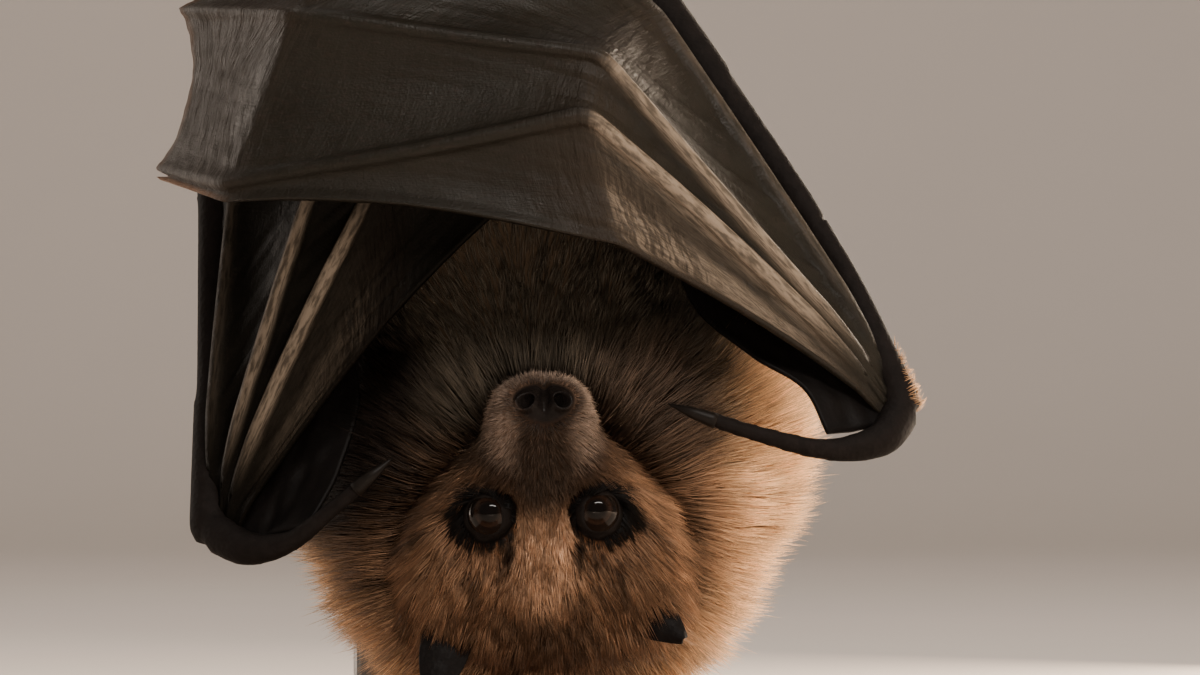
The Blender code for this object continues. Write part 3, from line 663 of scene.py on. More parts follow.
LEFT = {
    "wrist": (-77.4, -20.0, 4.0),
    "elbow": (-53.0, 26.0, 109.0),
    "shoulder": (-33.0, 2.0, 34.0),
    "bulge": 0.6,
    "fore_edge": ((-55.0, -36.5, -0.5), (-46.0, -28.0, 10.0), (-38.0, -14.0, 28.0)),
    "edge": ((-74.5, -25.5, 0.0), (-46.6, -35.0, 24.7), (-27.4, -41.0, 39.7), (-12.0, -43.5, 50.0),
             (2.0, -43.5, 58.0), (14.0, -42.0, 66.0), (30.0, -35.0, 80.0)),
    "third": ((-75.5, -23.5, 3.0), (-48.9, -33.0, 39.9), (-22.0, -42.5, 71.0), (-8.0, -42.5, 76.0),
              (4.0, -41.5, 80.0), (16.0, -39.5, 84.0), (31.0, -32.0, 88.0)),
    "fourth": ((-76.5, -22.0, 5.0), (-53.0, -30.0, 46.0), (-31.0, -38.0, 82.0), (-18.0, -38.5, 94.0),
               (-6.0, -36.5, 102.0), (6.0, -33.5, 108.0), (22.0, -25.0, 111.0)),
    "fifth": ((-77.2, -20.0, 7.0), (-64.0, -16.5, 50.0), (-50.0, -12.0, 90.0), (-41.0, -19.0, 106.0),
              (-30.0, -24.0, 118.0), (-16.0, -27.0, 128.0), (2.0, -25.0, 138.0)),
    "arm": ((-77.4, -17.0, 9.0), (-66.0, 3.0, 56.0), (-54.0, 26.0, 111.0), (-44.0, 26.0, 131.0),
            (-34.0, 25.5, 152.0), (-30.5, 24.0, 172.0), (-27.5, 23.0, 189.0)),
    "thumb": ((-75.6, -22.0, 2.0), (-69.5, -28.5, -2.5), (-60.0, -34.5, -3.0), (-51.0, -38.5, 1.0),
              (-42.0, -41.5, 5.5), (-33.5, -41.0, 10.0)),
}
WINGS = {"right": RIGHT, "left": LEFT}
SIGN = {"right": 1.0, "left": -1.0}
DIGITS = ("edge", "third", "fourth", "fifth", "arm")
LEGS = {
    "right": {"hip": (13.0, 12.0, 126.0), "knee": (31.0, 26.0, 149.0), "ankle_x": -20.0},
    "left": {"hip": (-13.0, 12.0, 126.0), "knee": (-27.0, 26.0, 155.0), "ankle_x": -52.0},
}
PERCH_CENTRE = np.array((-35.0, 12.0, 318.0))
PERCH_RADIUS = 8.5
ANKLE_DEPTH = 24.0
ANKLE_DROP = 15.0
TOE_SPREAD = 3.3
TOE_ROOT_SPREAD = 1.6
TOE_REACH = PERCH_RADIUS + 1.9
# turn round the perch in degrees, lift off it
TOE_LINE = ((-8.0, 0.2), (22.0, 0.0), (52.0, 0.2), (76.0, 0.0))
TOE_CLAW_LINE = ((66.0, 0.0), (88.0, 0.7), (110.0, 0.4), (132.0, -0.9))


def torso_flesh():
    """The trunk from the shoulders to the hips."""
    rings = []
    for number, (up, shift, half_width, front, back, depth) in enumerate(TORSO_RINGS):
        if number in (0, len(TORSO_RINGS) - 1):
            up += math.copysign(depth * 0.9, -up)
        reach = max((back - front) / 2 - depth, THINNEST)
        centre = body((shift, (front + back) / 2, up))
        rings.append(oval(centre, BODY_SIDE, DEPTH, max(half_width - depth, THINNEST), reach, reach))
    return loft(rings)


def head_flesh():
    """The skull and muzzle, before the face is shaped."""
    rings = []
    for number, (forward, half_width, dorsal, ventral, depth) in enumerate(HEAD_RINGS):
        if number == len(HEAD_RINGS) - 1:
            forward += depth
        middle = ventral * 0.4 + dorsal * 0.6
        centre = head((0, forward, middle))
        over, under = dorsal - middle - depth, middle - ventral - depth
        rings.append(oval(centre, ACROSS, CROWN, half_width - depth, over, under))
    return loft(rings)


def arm_flesh(wing):
    """The upper arm."""
    shoulder, elbow = body(wing["shoulder"]), body(wing["elbow"])
    middle = shoulder * 0.55 + elbow * 0.45 + np.array((0, 2.0, 0))
    return tube([shoulder, middle, elbow], [9.0, 6.6, 5.4])


def forearm_flesh(wing):
    """The forearm, bowed outwards, and the start of the palm."""
    elbow, wrist = body(wing["elbow"]), body(wing["wrist"])
    outwards = BODY_SIDE * math.copysign(wing["bulge"], wing["wrist"][0])
    belly = elbow * 0.75 + wrist * 0.25 + outwards * 0.5
    thin = elbow * 0.3 + wrist * 0.7 + outwards
    palm = wrist + unit(wrist - elbow) * 3.6
    return tube([elbow, belly, thin, wrist, palm], [6.0, 5.3, 3.7, 4.7, 3.3])


def thumb_flesh(wing):
    """The thumb up to its claw."""
    return tube([body(place) for place in wing["thumb"][:5]], [4.7, 4.0, 2.6, 2.05, 1.9])


def thigh_flesh(side):
    """The thigh, from hip to knee."""
    hip, knee = body(LEGS[side]["hip"]), body(LEGS[side]["knee"])
    return tube([hip, hip * 0.4 + knee * 0.6, knee], [9.0, 6.2, 4.8])


def ankle(side):
    """The ankle, behind and below the perch."""
    return np.array((LEGS[side]["ankle_x"], ANKLE_DEPTH, PERCH_CENTRE[2] - ANKLE_DROP))


def shin_flesh(side):
    """The shin, from knee to ankle."""
    knee, end = body(LEGS[side]["knee"]), ankle(side)
    return tube([knee, knee * 0.6 + end * 0.4, end], [5.2, 4.4, 3.3])


def round_perch(x, turn, reach):
    """A place round the perch: turn in degrees from its back over its top, reach from its middle."""
    angle = math.radians(turn)
    return np.array((x, PERCH_CENTRE[1] + reach * math.cos(angle), PERCH_CENTRE[2] + reach * math.sin(angle)))


def foot_flesh(side):
    """Instep and five knuckled toes over the perch."""
    middle = LEGS[side]["ankle_x"]
    start = ankle(side)
    sole = round_perch(middle, -40.0, PERCH_RADIUS + 5.6) + np.array((0, 0, 2.0))
    parts = [tube([start + np.array((0, 0, 1.0)), start * 0.4 + sole * 0.6, sole], [3.3, 4.0, 4.1])]
    for number in range(-2, 3):
        line = [round_perch(middle + number * TOE_ROOT_SPREAD, -38.0, TOE_REACH + 0.8)]
        line += [round_perch(middle + number * TOE_SPREAD, turn, TOE_REACH + lift) for turn, lift in TOE_LINE]
        parts.append(tube(line, [1.6, 1.75, 1.4, 1.65, 1.2], 3, 4))
    return merged(parts)


def toe_claws(side):
    """Five hooked claws that carry on from the toes."""
    middle = LEGS[side]["ankle_x"]
    claws = []
    for number in range(-2, 3):
        x = middle + number * TOE_SPREAD
        line = [round_perch(x, turn, TOE_REACH + lift) for turn, lift in TOE_CLAW_LINE]
        claws.append(tube(line, [1.25, 1.15, 0.85, 0.15], 3, 4))
    return merged(claws)


def thumb_claw(wing):
    """The claw on the thumb's last joint, its root sunk in the flesh."""
    joint, point = (body(place) for place in wing["thumb"][4:])
    root = joint - unit(point - joint)
    arch = joint * 0.55 + point * 0.45 + np.array((0, -1.1, 0))
    return tube([root, arch, point], [1.85, 1.3, 0.15], 3, 5)


FORMS = {"torso": torso_flesh(), "head": head_flesh()}
for side, wing in WINGS.items():
    FORMS[f"arm_{side}"] = arm_flesh(wing)
    FORMS[f"forearm_{side}"] = forearm_flesh(wing)
    FORMS[f"thumb_{side}"] = thumb_flesh(wing)
    FORMS[f"thigh_{side}"] = thigh_flesh(side)
    FORMS[f"shin_{side}"] = shin_flesh(side)
    FORMS[f"foot_{side}"] = foot_flesh(side)
FORM_NAMES = list(FORMS)
BARE_FORMS = ("forearm", "thumb", "shin", "foot")
SKIN_VOXEL = 1.15


def form_distances(points):
    """How far each point is from each flesh form's surface."""
    table = np.empty((len(points), len(FORM_NAMES)))
    for number, name in enumerate(FORM_NAMES):
        work = opened(FORMS[name])
        tree = BVHTree.FromBMesh(work)
        table[:, number] = [tree.find_nearest(Vector(p) * MM)[3] / MM for p in points]
        work.free()
    return table


def refine(mesh, centre, radius):
    """Halves the edges round a place."""
    work = opened(mesh)
    middle = Vector(centre) * MM
    near = [e for e in work.edges if all((v.co - middle).length < radius * MM for v in e.verts)]
    bmesh.ops.subdivide_edges(work, edges=near, cuts=1, smooth=0.0, use_grid_fill=True)
    bmesh.ops.triangulate(work, faces=[f for f in work.faces if len(f.verts) > 4])
    settled(work, mesh)


NOSE_FRONT = 27.0
NOSTRIL_SPREAD = 3.5
NOSTRIL_WAY = (0.42, 0.62, 0.62)
NOSTRIL_RIM = 2.0
MOUTH_DROP = 12.8


def round_axis(local, centre, axis):
    """Each point's offset from the centre, height along the axis, and offset and distance square to it."""
    away = local - centre
    height = away @ axis
    flat = away - height[:, None] * axis
    return away, height, flat, np.linalg.norm(flat, axis=1)


def shape_nose(points, local):
    """A groove down the rounded nose pad, and two tube-like nostrils with thick rims."""
    nose = head((NOSE_SHIFT, NOSE_FRONT, -7.0))
    near_nose = smoothstep(11.0, 3.0, np.linalg.norm(points - nose, axis=1))
    local[:, 1] -= 1.5 * near_nose * np.exp(-((local[:, 0] - NOSE_SHIFT) / 1.1) ** 2)
    wings = smoothstep(1.0, 4.5, np.abs(local[:, 0] - NOSE_SHIFT))
    local[:, 2] += 0.7 * near_nose * wings * smoothstep(-12, -5, local[:, 2])
    for side in (-1, 1):
        centre = np.array((NOSE_SHIFT + side * NOSTRIL_SPREAD, NOSE_FRONT, -5.0))
        axis = unit(np.array(NOSTRIL_WAY) * (side, 1, 1))
        away, _, _, radius = round_axis(local, centre, axis)
        reach = smoothstep(5.5, 2.6, np.linalg.norm(away, axis=1))
        rim = 1.15 * np.exp(-((radius - NOSTRIL_RIM) / 0.55) ** 2)
        hole = -4.0 * smoothstep(1.65, 0.9, radius)
        local += (reach * (rim + hole))[:, None] * axis


def shape_face(points):
    """Nose, lip line, lids and brows, worked into the skin's own points."""
    local = in_head(points)
    shape_nose(points, local)
    # the mouth's line round the front of the muzzle, under the nose
    front = smoothstep(2.0, 12.0, local[:, 1])
    below = local[:, 2] + MOUTH_DROP + 0.0125 * local[:, 0] ** 2 - (NOSE_FRONT - local[:, 1]) * 0.10
    line = np.exp(-(below / 0.9) ** 2)
    outwards = unit(local - np.array((0.0, 10.0, -9.0)))
    local -= (0.9 * front * line)[:, None] * outwards
    for side in (-1, 1):
        gaze = unit(in_head(HEAD_ORIGIN + np.array(EYE_GAZE) * (side, 1, 1)))
        _, height, flat, radius = round_axis(local, eye_place(side), gaze)
        ball = np.sqrt(np.maximum(EYE_RADIUS**2 - radius**2, 0.0))
        # almond opening, longer towards the ear
        inner = EYE_OPENING * (1.0 + 0.10 * np.cos(np.arctan2(flat[:, 1], side * flat[:, 0])))
        lid = ball + 0.42 + 0.14 * np.exp(-((radius - inner - 0.5) / 0.6) ** 2)
        deep = ball - 2.6
        wanted = np.where(radius < inner, deep, lid)
        weight = smoothstep(8.2, 5.2, radius) * smoothstep(-5.0, -1.0, height)
        change = np.clip((wanted - height) * weight, -6.0, 3.0)
        local += change[:, None] * gaze
        # a fold under the brow
        brow = np.exp(-((radius - 6.6) / 0.9) ** 2) * smoothstep(-4.0, 0.0, height)
        local -= (0.5 * brow)[:, None] * gaze
    return head(local)


def relax(work, verts, passes):
    """Evens out the vertices."""
    axes = {f"use_axis_{axis}": True for axis in "xyz"}
    for _ in range(passes):
        bmesh.ops.smooth_vert(work, verts=verts, factor=0.5, **axes)


FOREARM_HEIGHTS = (135.0, 245.0)
FOREARM_OFF_SIDE = 40.0


def on_forearm(vert):
    """Whether a vertex lies out to a side, between the wrists and the elbows."""
    low, high = FOREARM_HEIGHTS
    return abs(vert.co.x / MM - BODY_ORIGIN[0]) > FOREARM_OFF_SIDE and low < vert.co.z / MM < high


def make_skin(finish):
    """The flesh forms as one skin with a shaped face; marks bare and wet parts and the nearest form."""
    whole = scratch(merged(FORMS.values()))
    weld = whole.modifiers.new("weld", "REMESH")
    weld.mode = "VOXEL"
    weld.voxel_size = SKIN_VOXEL * MM
    mesh = evaluated(whole)
    work = opened(mesh)
    relax(work, work.verts, 3)
    relax(work, [v for v in work.verts if on_forearm(v)], 22)
    settled(work, mesh)
    for forward, dorsal, radius in ((26.0, -7.0, 13.0), (27.0, -6.0, 9.5)):
        refine(mesh, head((0, forward, dorsal)), radius)
    for side in (-1, 1):
        for radius in (11.0, 8.5):
            refine(mesh, head((side * EYE_SPREAD, 0.0, 5.0)), radius)
    place_vertices(mesh, shape_face(coordinates(mesh)))
    points = coordinates(mesh)
    label = np.argmin(form_distances(points), axis=1)
    bare = np.array([name.startswith(BARE_FORMS) for name in FORM_NAMES], float)[label]
    local = in_head(points)
    from_nose = (local - (NOSE_SHIFT, 28.0, -5.4)) * (1.0, 1.0, 1.45)
    nose = smoothstep(7.4, 6.2, np.linalg.norm(from_nose, axis=1))
    bare = np.maximum(bare, nose)
    for side in (-1, 1):
        lid = np.array((side * (EYE_SPREAD + 1.7), 1.5, 4.8))
        away = np.linalg.norm((local - lid) * (0.90, 1.0, 1.0), axis=1) + 0.5 * ripple(points, 3.4, 51)
        bare = np.maximum(bare, smoothstep(5.9, 4.9, away))
    store(mesh, "wet", nose)
    store(mesh, "bare", bare)
    store(mesh, "region", label)
    limbs = ("upper_arm", "forearm", "thumb", "thigh", "shin", "foot")
    nodes = ["head", "neck", "chest", "abdomen"]
    nodes += [f"{part}_{side}" for side in WINGS for part in limbs]
    return show("skin", mesh, finish, nodes)


# ---- wings ----
# across counts the digits, from 0 at the free edge to 4 at the arm
# share runs from 0 at the wrist to 1 at the tips
SAG = 2.2
TRUNK_MIDDLE = (0.0, 6.0, 70.0)
WING_LENGTH = 170.0
LAY_SPACING = 14.0
LAY_UNIT = 200.0
DIGIT_THICK = 3.0
MEMBRANE_THICK = 0.9
SCALLOP = 0.03
KNUCKLE = 2 / 6
LAST_JOINT = 5 / 6


def digit_places(line, share):
    """Places along a digit: crisp at its joints, rounded in between."""
    line = np.asarray(line, float)
    joints = np.array((0.0, KNUCKLE, LAST_JOINT, 1.0))
    gap = np.abs(share[..., None] - joints).min(-1)
    window = 0.010 + 0.06 * np.clip(gap / 0.09 - 0.15, 0.0, 1.0)
    total = 0.0
    for step in (-1.0, -0.5, 0.0, 0.5, 1.0):
        whole = np.clip(share + step * window, 0.0, 1.0) * (len(line) - 1)
        number = np.minimum(whole.astype(int), len(line) - 2)
        here = (whole - number)[..., None]
        total = total + line[number] * (1 - here) + line[number + 1] * here
    return total / 5


def wing_places(wing, across, share):
    """The wing's middle surface in the body's frame, for arrays of the two places."""
    number = np.minimum(across.astype(int), len(DIGITS) - 2)
    here = across - number
    hollow = np.sin(math.pi * here)
    share = share * (1 - SCALLOP * hollow * share**6)
    shift = np.clip(1 - np.abs(share - LAST_JOINT) / 0.16, 0.0, 1.0)
    share = share + 0.05 * hollow * shift * (number == 1)
    lines = np.stack([digit_places(wing[name], share) for name in DIGITS])
    near = np.take_along_axis(lines, number[None, ..., None], 0)[0]
    far = np.take_along_axis(lines, number[None, ..., None] + 1, 0)[0]
    place = near * (1 - here[..., None]) + far * here[..., None]
    width = np.linalg.norm(far - near, axis=-1)
    inwards = unit(np.stack((-place[..., 0], -place[..., 1], np.zeros_like(width)), -1))
    return place + inwards * (np.minimum(SAG, 0.12 * width) * hollow)[..., None], width


def surface_normals(points):
    """Unit normals of a grid of places, facing away from the body."""
    normal = unit(np.cross(np.gradient(points, axis=0), np.gradient(points, axis=1)))
    outside = points - body(TRUNK_MIDDLE)
    return normal * np.sign((normal * outside).sum(-1, keepdims=True).mean())


# width by the third finger, width elsewhere, strength at the free edge, fade at the knuckle, brightness
# (lower on the left wing as painted shade); the bands are pale skin brightened as a painted highlight
BANDS = {"right": (4.2, 1.3, 0.64, 0.018, 1.0), "left": (1.1, 0.6, 0.20, 0.09, 0.7)}


def pale_and_sheen_bands(side, across, share, width):
    """Pale skin with a painted highlight along the third and fourth palm bones and near the free edge, faint
    along the fifth; dimmer on the left wing as painted shade.
    """
    broad, narrow, open_skin, fade, bright = BANDS[side]
    side_of_third = np.where(across < 1, broad, narrow)
    dust_and_sheen = 0.9 * np.exp(-((across - 1) * width / side_of_third) ** 2)
    dust_and_sheen = np.maximum(dust_and_sheen, 0.80 * np.exp(-((across - 2) * width / narrow) ** 2))
    dust_and_sheen = np.maximum(dust_and_sheen, 0.16 * np.exp(-((across - 3) * width / 1.0) ** 2))
    spread = 0.22 * smoothstep(1.0, 0.8, across) + 0.78 * smoothstep(0.62, 0.42, across)
    dust_and_sheen = np.maximum(dust_and_sheen, open_skin * smoothstep(0.0, 0.10, across) * spread)
    before_knuckle = smoothstep(KNUCKLE + 0.004, KNUCKLE + 0.004 - fade, share)
    return dust_and_sheen * before_knuckle * smoothstep(0.03, 0.12, share) * bright


def make_wing(side, wing, finish):
    """A folded wing: one sheet over all the digits, thicker along the bones."""
    columns, rows = ((193, 181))
    across = np.linspace(0, len(DIGITS) - 1, columns)[:, None] * np.ones((1, rows))
    share = np.linspace(0, 1, rows)[None, :] * np.ones((columns, 1))
    flat, width = wing_places(wing, across, share)
    points = body(flat)
    normal = surface_normals(points)
    number = np.minimum(across.astype(int), len(DIGITS) - 2)
    here = across - number
    gap = np.minimum(here, 1 - here) * width
    # pleats run along the fingers and fade past the knuckles; fine creases cross them near the free edge
    metacarpal = smoothstep(KNUCKLE + 0.10, KNUCKLE - 0.06, share)
    seed = 11 if side == "right" else 23
    run = np.cumsum(width, axis=0) / columns * (len(DIGITS) - 1)
    lengths = np.stack((run, share * WING_LENGTH, np.zeros_like(share)), -1)
    stretch = lengths * np.array((1.0, 0.07, 1.0))
    pleats = ripple(stretch, 5.0, seed) * 0.45 + ripple(stretch, 2.2, seed + 1) * 0.22
    squeeze = lengths * np.array((0.30, 1.0, 1.0))
    cross = ripple(squeeze, 3.2, seed + 2) * 0.30 + ripple(squeeze, 1.7, seed + 3) * 0.15
    first = smoothstep(1.05, 0.35, across)
    near_joint = np.exp(-((share - KNUCKLE) / 0.05) ** 2) + np.exp(-((share - LAST_JOINT) / 0.05) ** 2)
    tip_panel = smoothstep(LAST_JOINT - 0.02, LAST_JOINT + 0.03, share)
    knuckle_side = 0.3 + 0.7 * smoothstep(0.14, 0.31, share)
    crease = 0.85 * first * metacarpal * knuckle_side + 0.5 * near_joint + 0.8 * tip_panel + 0.12
    crease = np.clip(crease, 0, 1)
    lift = pleats * (0.35 + 0.9 * metacarpal) + cross * crease
    lift *= smoothstep(0.0, 3.0, gap) * smoothstep(0.0, 0.05, share)
    # the bones stand out of the sheet more than they stand in
    bone = np.exp(-(gap / 1.5) ** 2) * (1.0 - 0.55 * share)
    bone *= np.where((across < 0.5) | (across > len(DIGITS) - 1.5), 0.35, 1.0) * smoothstep(0.0, 0.09, share)
    points = points + normal * (lift + bone * 0.8)[..., None]
    # the arm's edge and the fingers' roots are tucked under the skin of the forearm and wrist
    tuck = 2.4 * smoothstep(3.7, 4.0, across) * smoothstep(0.36, 0.28, share)
    points = points - BODY_SIDE * (SIGN[side] * tuck)[..., None]
    points = points - normal * (1.6 * smoothstep(0.05, 0.0, share))[..., None]
    mesh, column, row = grid(columns, rows)
    place_vertices(mesh, points[column, row])
    rays = np.stack((across * LAY_SPACING, share * WING_LENGTH), -1)
    lay_uv(mesh, "lay", rays[column, row] / LAY_UNIT)
    store(mesh, "crease", crease[column, row])
    store(mesh, "dust_and_sheen", pale_and_sheen_bands(side, across, share, width)[column, row])
    # painted lit rim along the free edge past the last joint, fainter round the tips
    rim = smoothstep(1.6, 0.2, across * width) * smoothstep(LAST_JOINT - 0.02, LAST_JOINT + 0.06, share) * 0.9
    rim = np.maximum(rim, 0.35 * smoothstep(0.985, 1.0, share))
    store(mesh, "rim", rim[column, row])
    obj = show(f"wing_skin_{side}", mesh, finish, [f"wing_{side}"])
    bones = obj.vertex_groups.new(name="bones")
    weight = (MEMBRANE_THICK + (DIGIT_THICK - MEMBRANE_THICK) * np.clip(bone, 0, 1)) / DIGIT_THICK
    for index, value in enumerate(weight[column, row]):
        bones.add([index], float(value), "REPLACE")
    thicken(obj, DIGIT_THICK).vertex_group = "bones"
    fix_facing(mesh, normal[column, row])


def thicken(obj, thickness):
    """Gives a sheet a wall, half of it on each side."""
    wall = obj.modifiers.new("wall", "SOLIDIFY")
    wall.thickness = thickness * MM
    wall.offset = 0.0
    return wall


def fix_facing(mesh, wanted):
    """Turns an open sheet's faces to the wanted side, so that its wall is the right way out."""
    if (vertex_normals(mesh) * wanted).sum() < 0:
        mesh.flip_normals()


def ruled_sheet(name, outer, inner, rows, columns, finish, replaced, seed):
    """A thin membrane between two rounded lines, gently pleated."""
    first = np.array([p for p, _ in rounded_line(outer, [1] * len(outer), 12)])
    second = np.array([p for p, _ in rounded_line(inner, [1] * len(inner), 12)])

    def spaced(line):
        """The line's points at even distances."""
        run = np.concatenate(([0], np.cumsum(np.linalg.norm(np.diff(line, axis=0), axis=1))))
        wanted = np.linspace(0, run[-1], rows)
        return np.stack([np.interp(wanted, run, line[:, axis]) for axis in range(3)], -1)

    first, second = spaced(first), spaced(second)
    t = np.linspace(0, 1, columns)[:, None, None]
    points = first[None] * (1 - t) + second[None] * t
    normal = unit(np.cross(np.gradient(points, axis=0), np.gradient(points, axis=1)))
    pleat = ripple(points * np.array((1.0, 1.0, 0.35)), 6.0, seed) * 0.5
    points = points + normal * (pleat * np.sin(math.pi * t[..., 0]))[..., None]
    mesh, column, row = grid(columns, rows)
    place_vertices(mesh, points[column, row])
    lay_uv(mesh, "lay", np.stack((column * 0.6, row * 0.9), -1) / LAY_UNIT)
    store(mesh, "crease", np.full(len(column), 0.35))
    store(mesh, "dust_and_sheen", np.zeros(len(column)))
    store(mesh, "rim", np.zeros(len(column)))
    thicken(show(name, mesh, finish, replaced), MEMBRANE_THICK)


def make_arm_membranes(side, wing, finish):
    """The skin in front of the arm, from wrist to shoulder, and the skin from the arm to the flank."""
    sign = SIGN[side]
    wrist, elbow, shoulder = (np.array(wing[name], float) for name in ("wrist", "elbow", "shoulder"))
    outer = [wrist * (1 - t) + elbow * t for t in (0.2, 0.42, 0.64, 0.8, 0.95)]
    outer.insert(0, wrist + np.array((-3.0 * sign, -3.0, -5.5)))
    inner = [np.array(place, float) for place in wing["fore_edge"]]
    inner += [shoulder * (1 - t) + elbow * t for t in (0.5, 0.72, 0.95)]
    ruled_sheet(f"fore_skin_{side}", body(outer), body(inner), 90, 40, finish, [f"fore_membrane_{side}"], 5)
    third, fourth, fifth = (np.array(place) for place in wing["arm"][2:5])
    edge = [place + np.array((-0.4 * sign, 0.6, 0)) for place in (third, fourth, fourth * 0.5 + fifth * 0.5)]
    flank = [(20.0 * sign, 17.0, 88.0), (18.0 * sign, 18.0, 103.0), (16.0 * sign, 18.0, 117.0)]
    ruled_sheet(f"flank_skin_{side}", body(edge), body(flank), 50, 30, finish, [f"flank_membrane_{side}"], 9)


# ---- eyes, ears, claws ----
def make_eye(side, name, finish):
    """An eyeball with a raised lens, turned to its gaze."""
    centre = head(eye_place(side))
    gaze = unit(np.array(EYE_GAZE) * (side, 1, 1))
    work = bmesh.new()
    bmesh.ops.create_uvsphere(work, u_segments=48, v_segments=32, radius=EYE_RADIUS * MM)
    turn = Vector(gaze).to_track_quat("Z", "Y").to_matrix().to_4x4()
    bmesh.ops.transform(work, matrix=turn, verts=work.verts)
    mesh = settled(work)
    points = coordinates(mesh)
    facing = np.clip(unit(points) @ gaze, -1, 1)
    turned = np.arccos(facing)
    points += unit(points) * (LENS_RISE * smoothstep(0.62, 0.30, turned))[:, None]
    place_vertices(mesh, points * EYE_FIT + centre)
    store(mesh, "gaze", turned)
    show(f"eyeball_{name}", mesh, finish, [f"eye_{name}"])


# root in the head's frame, tip in the frame's own
EARS = {
    1: {"root": (14.0, -20.0, 2.5), "tip": (40.5, -30.5, 82.3)},
    -1: {"root": (-19.0, -22.0, 2.5), "tip": (-15.5, -31.0, 68.5)},
}
EAR_HALF_WIDTH = 5.6
EAR_THICK = 0.8


def make_ear(side, name, finish):
    """A leaf-shaped cup with a rolled inner edge, ribbed inside and drawn to a point."""
    root, tip = head(EARS[side]["root"]), np.array(EARS[side]["tip"])
    reach = tip - root
    towards = unit(reach)
    across = unit(np.cross(towards, (0, -1, 0)))
    facing = np.cross(across, towards)
    columns, rows = 31, 37
    span = np.linspace(-1, 1, columns)[:, None] * np.ones((1, rows))
    rise = np.linspace(0, 1, rows)[None, :] * np.ones((columns, 1))
    breadth = EAR_HALF_WIDTH * np.sin(math.pi * (0.14 + 0.83 * rise)) ** 0.9
    cup = 3.0 * (1 - rise * 0.5) * span**2
    roll = 0.9 * smoothstep(0.72, 1.0, np.abs(span)) * (1 - rise)
    ribs = 0.07 * np.sin(rise * 42.0) * (1 - span**2)
    points = (root + reach * rise[..., None] + across * (span * breadth)[..., None]
              - facing * (cup - roll + ribs)[..., None])
    mesh, column, row = grid(columns, rows)
    place_vertices(mesh, points[column, row])
    obj = show(f"ear_skin_{name}", mesh, finish, [f"ear_{name}"])
    thicken(obj, EAR_THICK)
    rounding = obj.modifiers.new("rounding", "SUBSURF")
    rounding.levels = rounding.render_levels = 1


# ---- coat: fine tufts rooted in the skin, following the lie of the hair ----
MUZZLE_WHORL = head((0.0, 24.0, -6.0))
BODY_WHORL = np.array((9.9, -40.0, 103.0))
TUFTS_PER_PIECE = 19000
STRAND_SIDES = 3
LOCK_SHARE = 0.075
PATCH_HALF = 0.0014


def torso_depth(points):
    """Depth of the coat along the trunk."""
    rings = np.array(TORSO_RINGS)
    return np.interp(in_body(points)[:, 2], rings[:, 0], rings[:, 5])


def head_depth(points):
    """Depth of the coat along the head."""
    rings = np.array(HEAD_RINGS)[::-1]
    return np.interp(in_head(points)[:, 1], rings[:, 0], rings[:, 4])


def coat_density(points, normals, region, bare):
    """Tufts to the square millimetre: none on bare skin, but for a sparse fringe outside the right wrist."""
    forward = in_head(points)[:, 1]
    face = np.interp(forward, (-41.0, -22.0, -4.0, 14.0, 27.0), (3.4, 5.0, 7.5, 9.0, 9.0))
    face *= 0.35 + 0.65 * smoothstep(0.45, -0.10, normals[:, 1])
    local = in_body(points)
    mantle = 3.4 * smoothstep(58.0, 30.0, local[:, 2])
    sheltered = smoothstep(14.0, 30.0, local[:, 2]) * smoothstep(-8.0, -20.0, local[:, 1])
    trunk = np.maximum(mantle * (1 - 0.35 * sheltered), 0.95)
    trunk *= np.where(local[:, 1] > 18.0, 0.62, 1.0)
    limb = np.full(len(points), 0.9)
    density = np.select([region == "head", region == "torso"], [face, trunk], limb) * (bare < 0.5)
    fringe = (region == "forearm") & (local[:, 0] > 80.0) & (local[:, 2] > -14.0) & (local[:, 2] < 9.0)
    return np.where(fringe, 1.6, density)


def scatter(mesh, rng, thin):
    """Roots over the skin with their normals and regions."""
    mesh.calc_loop_triangles()
    corners = np.empty(len(mesh.loop_triangles) * 3, "i4")
    mesh.loop_triangles.foreach_get("vertices", corners)
    corners = corners.reshape(-1, 3)
    points, normals = coordinates(mesh), vertex_normals(mesh)
    bare = recall(mesh, "bare")
    names = np.array([name.split("_")[0] for name in FORM_NAMES])[recall(mesh, "region").astype(int)]
    first, second, third = (points[corners[:, n]] for n in range(3))
    area = np.linalg.norm(np.cross(second - first, third - first), axis=1) / 2
    centre = (first + second + third) / 3
    region = names[corners[:, 0]]
    density = coat_density(centre, normals[corners[:, 0]], region, bare[corners].max(axis=1))
    wanted = area * density * thin
    count = np.floor(wanted + rng.random(len(wanted))).astype(int)
    pick = np.repeat(np.arange(len(count)), count)
    a, b = rng.random(len(pick)), rng.random(len(pick))
    flip = a + b > 1
    a[flip], b[flip] = 1 - a[flip], 1 - b[flip]
    weights = np.stack((1 - a - b, a, b), -1)[..., None]
    root = (points[corners[pick]] * weights).sum(1)
    normal = unit((normals[corners[pick]] * weights).sum(1))
    return root, normal, region[pick]


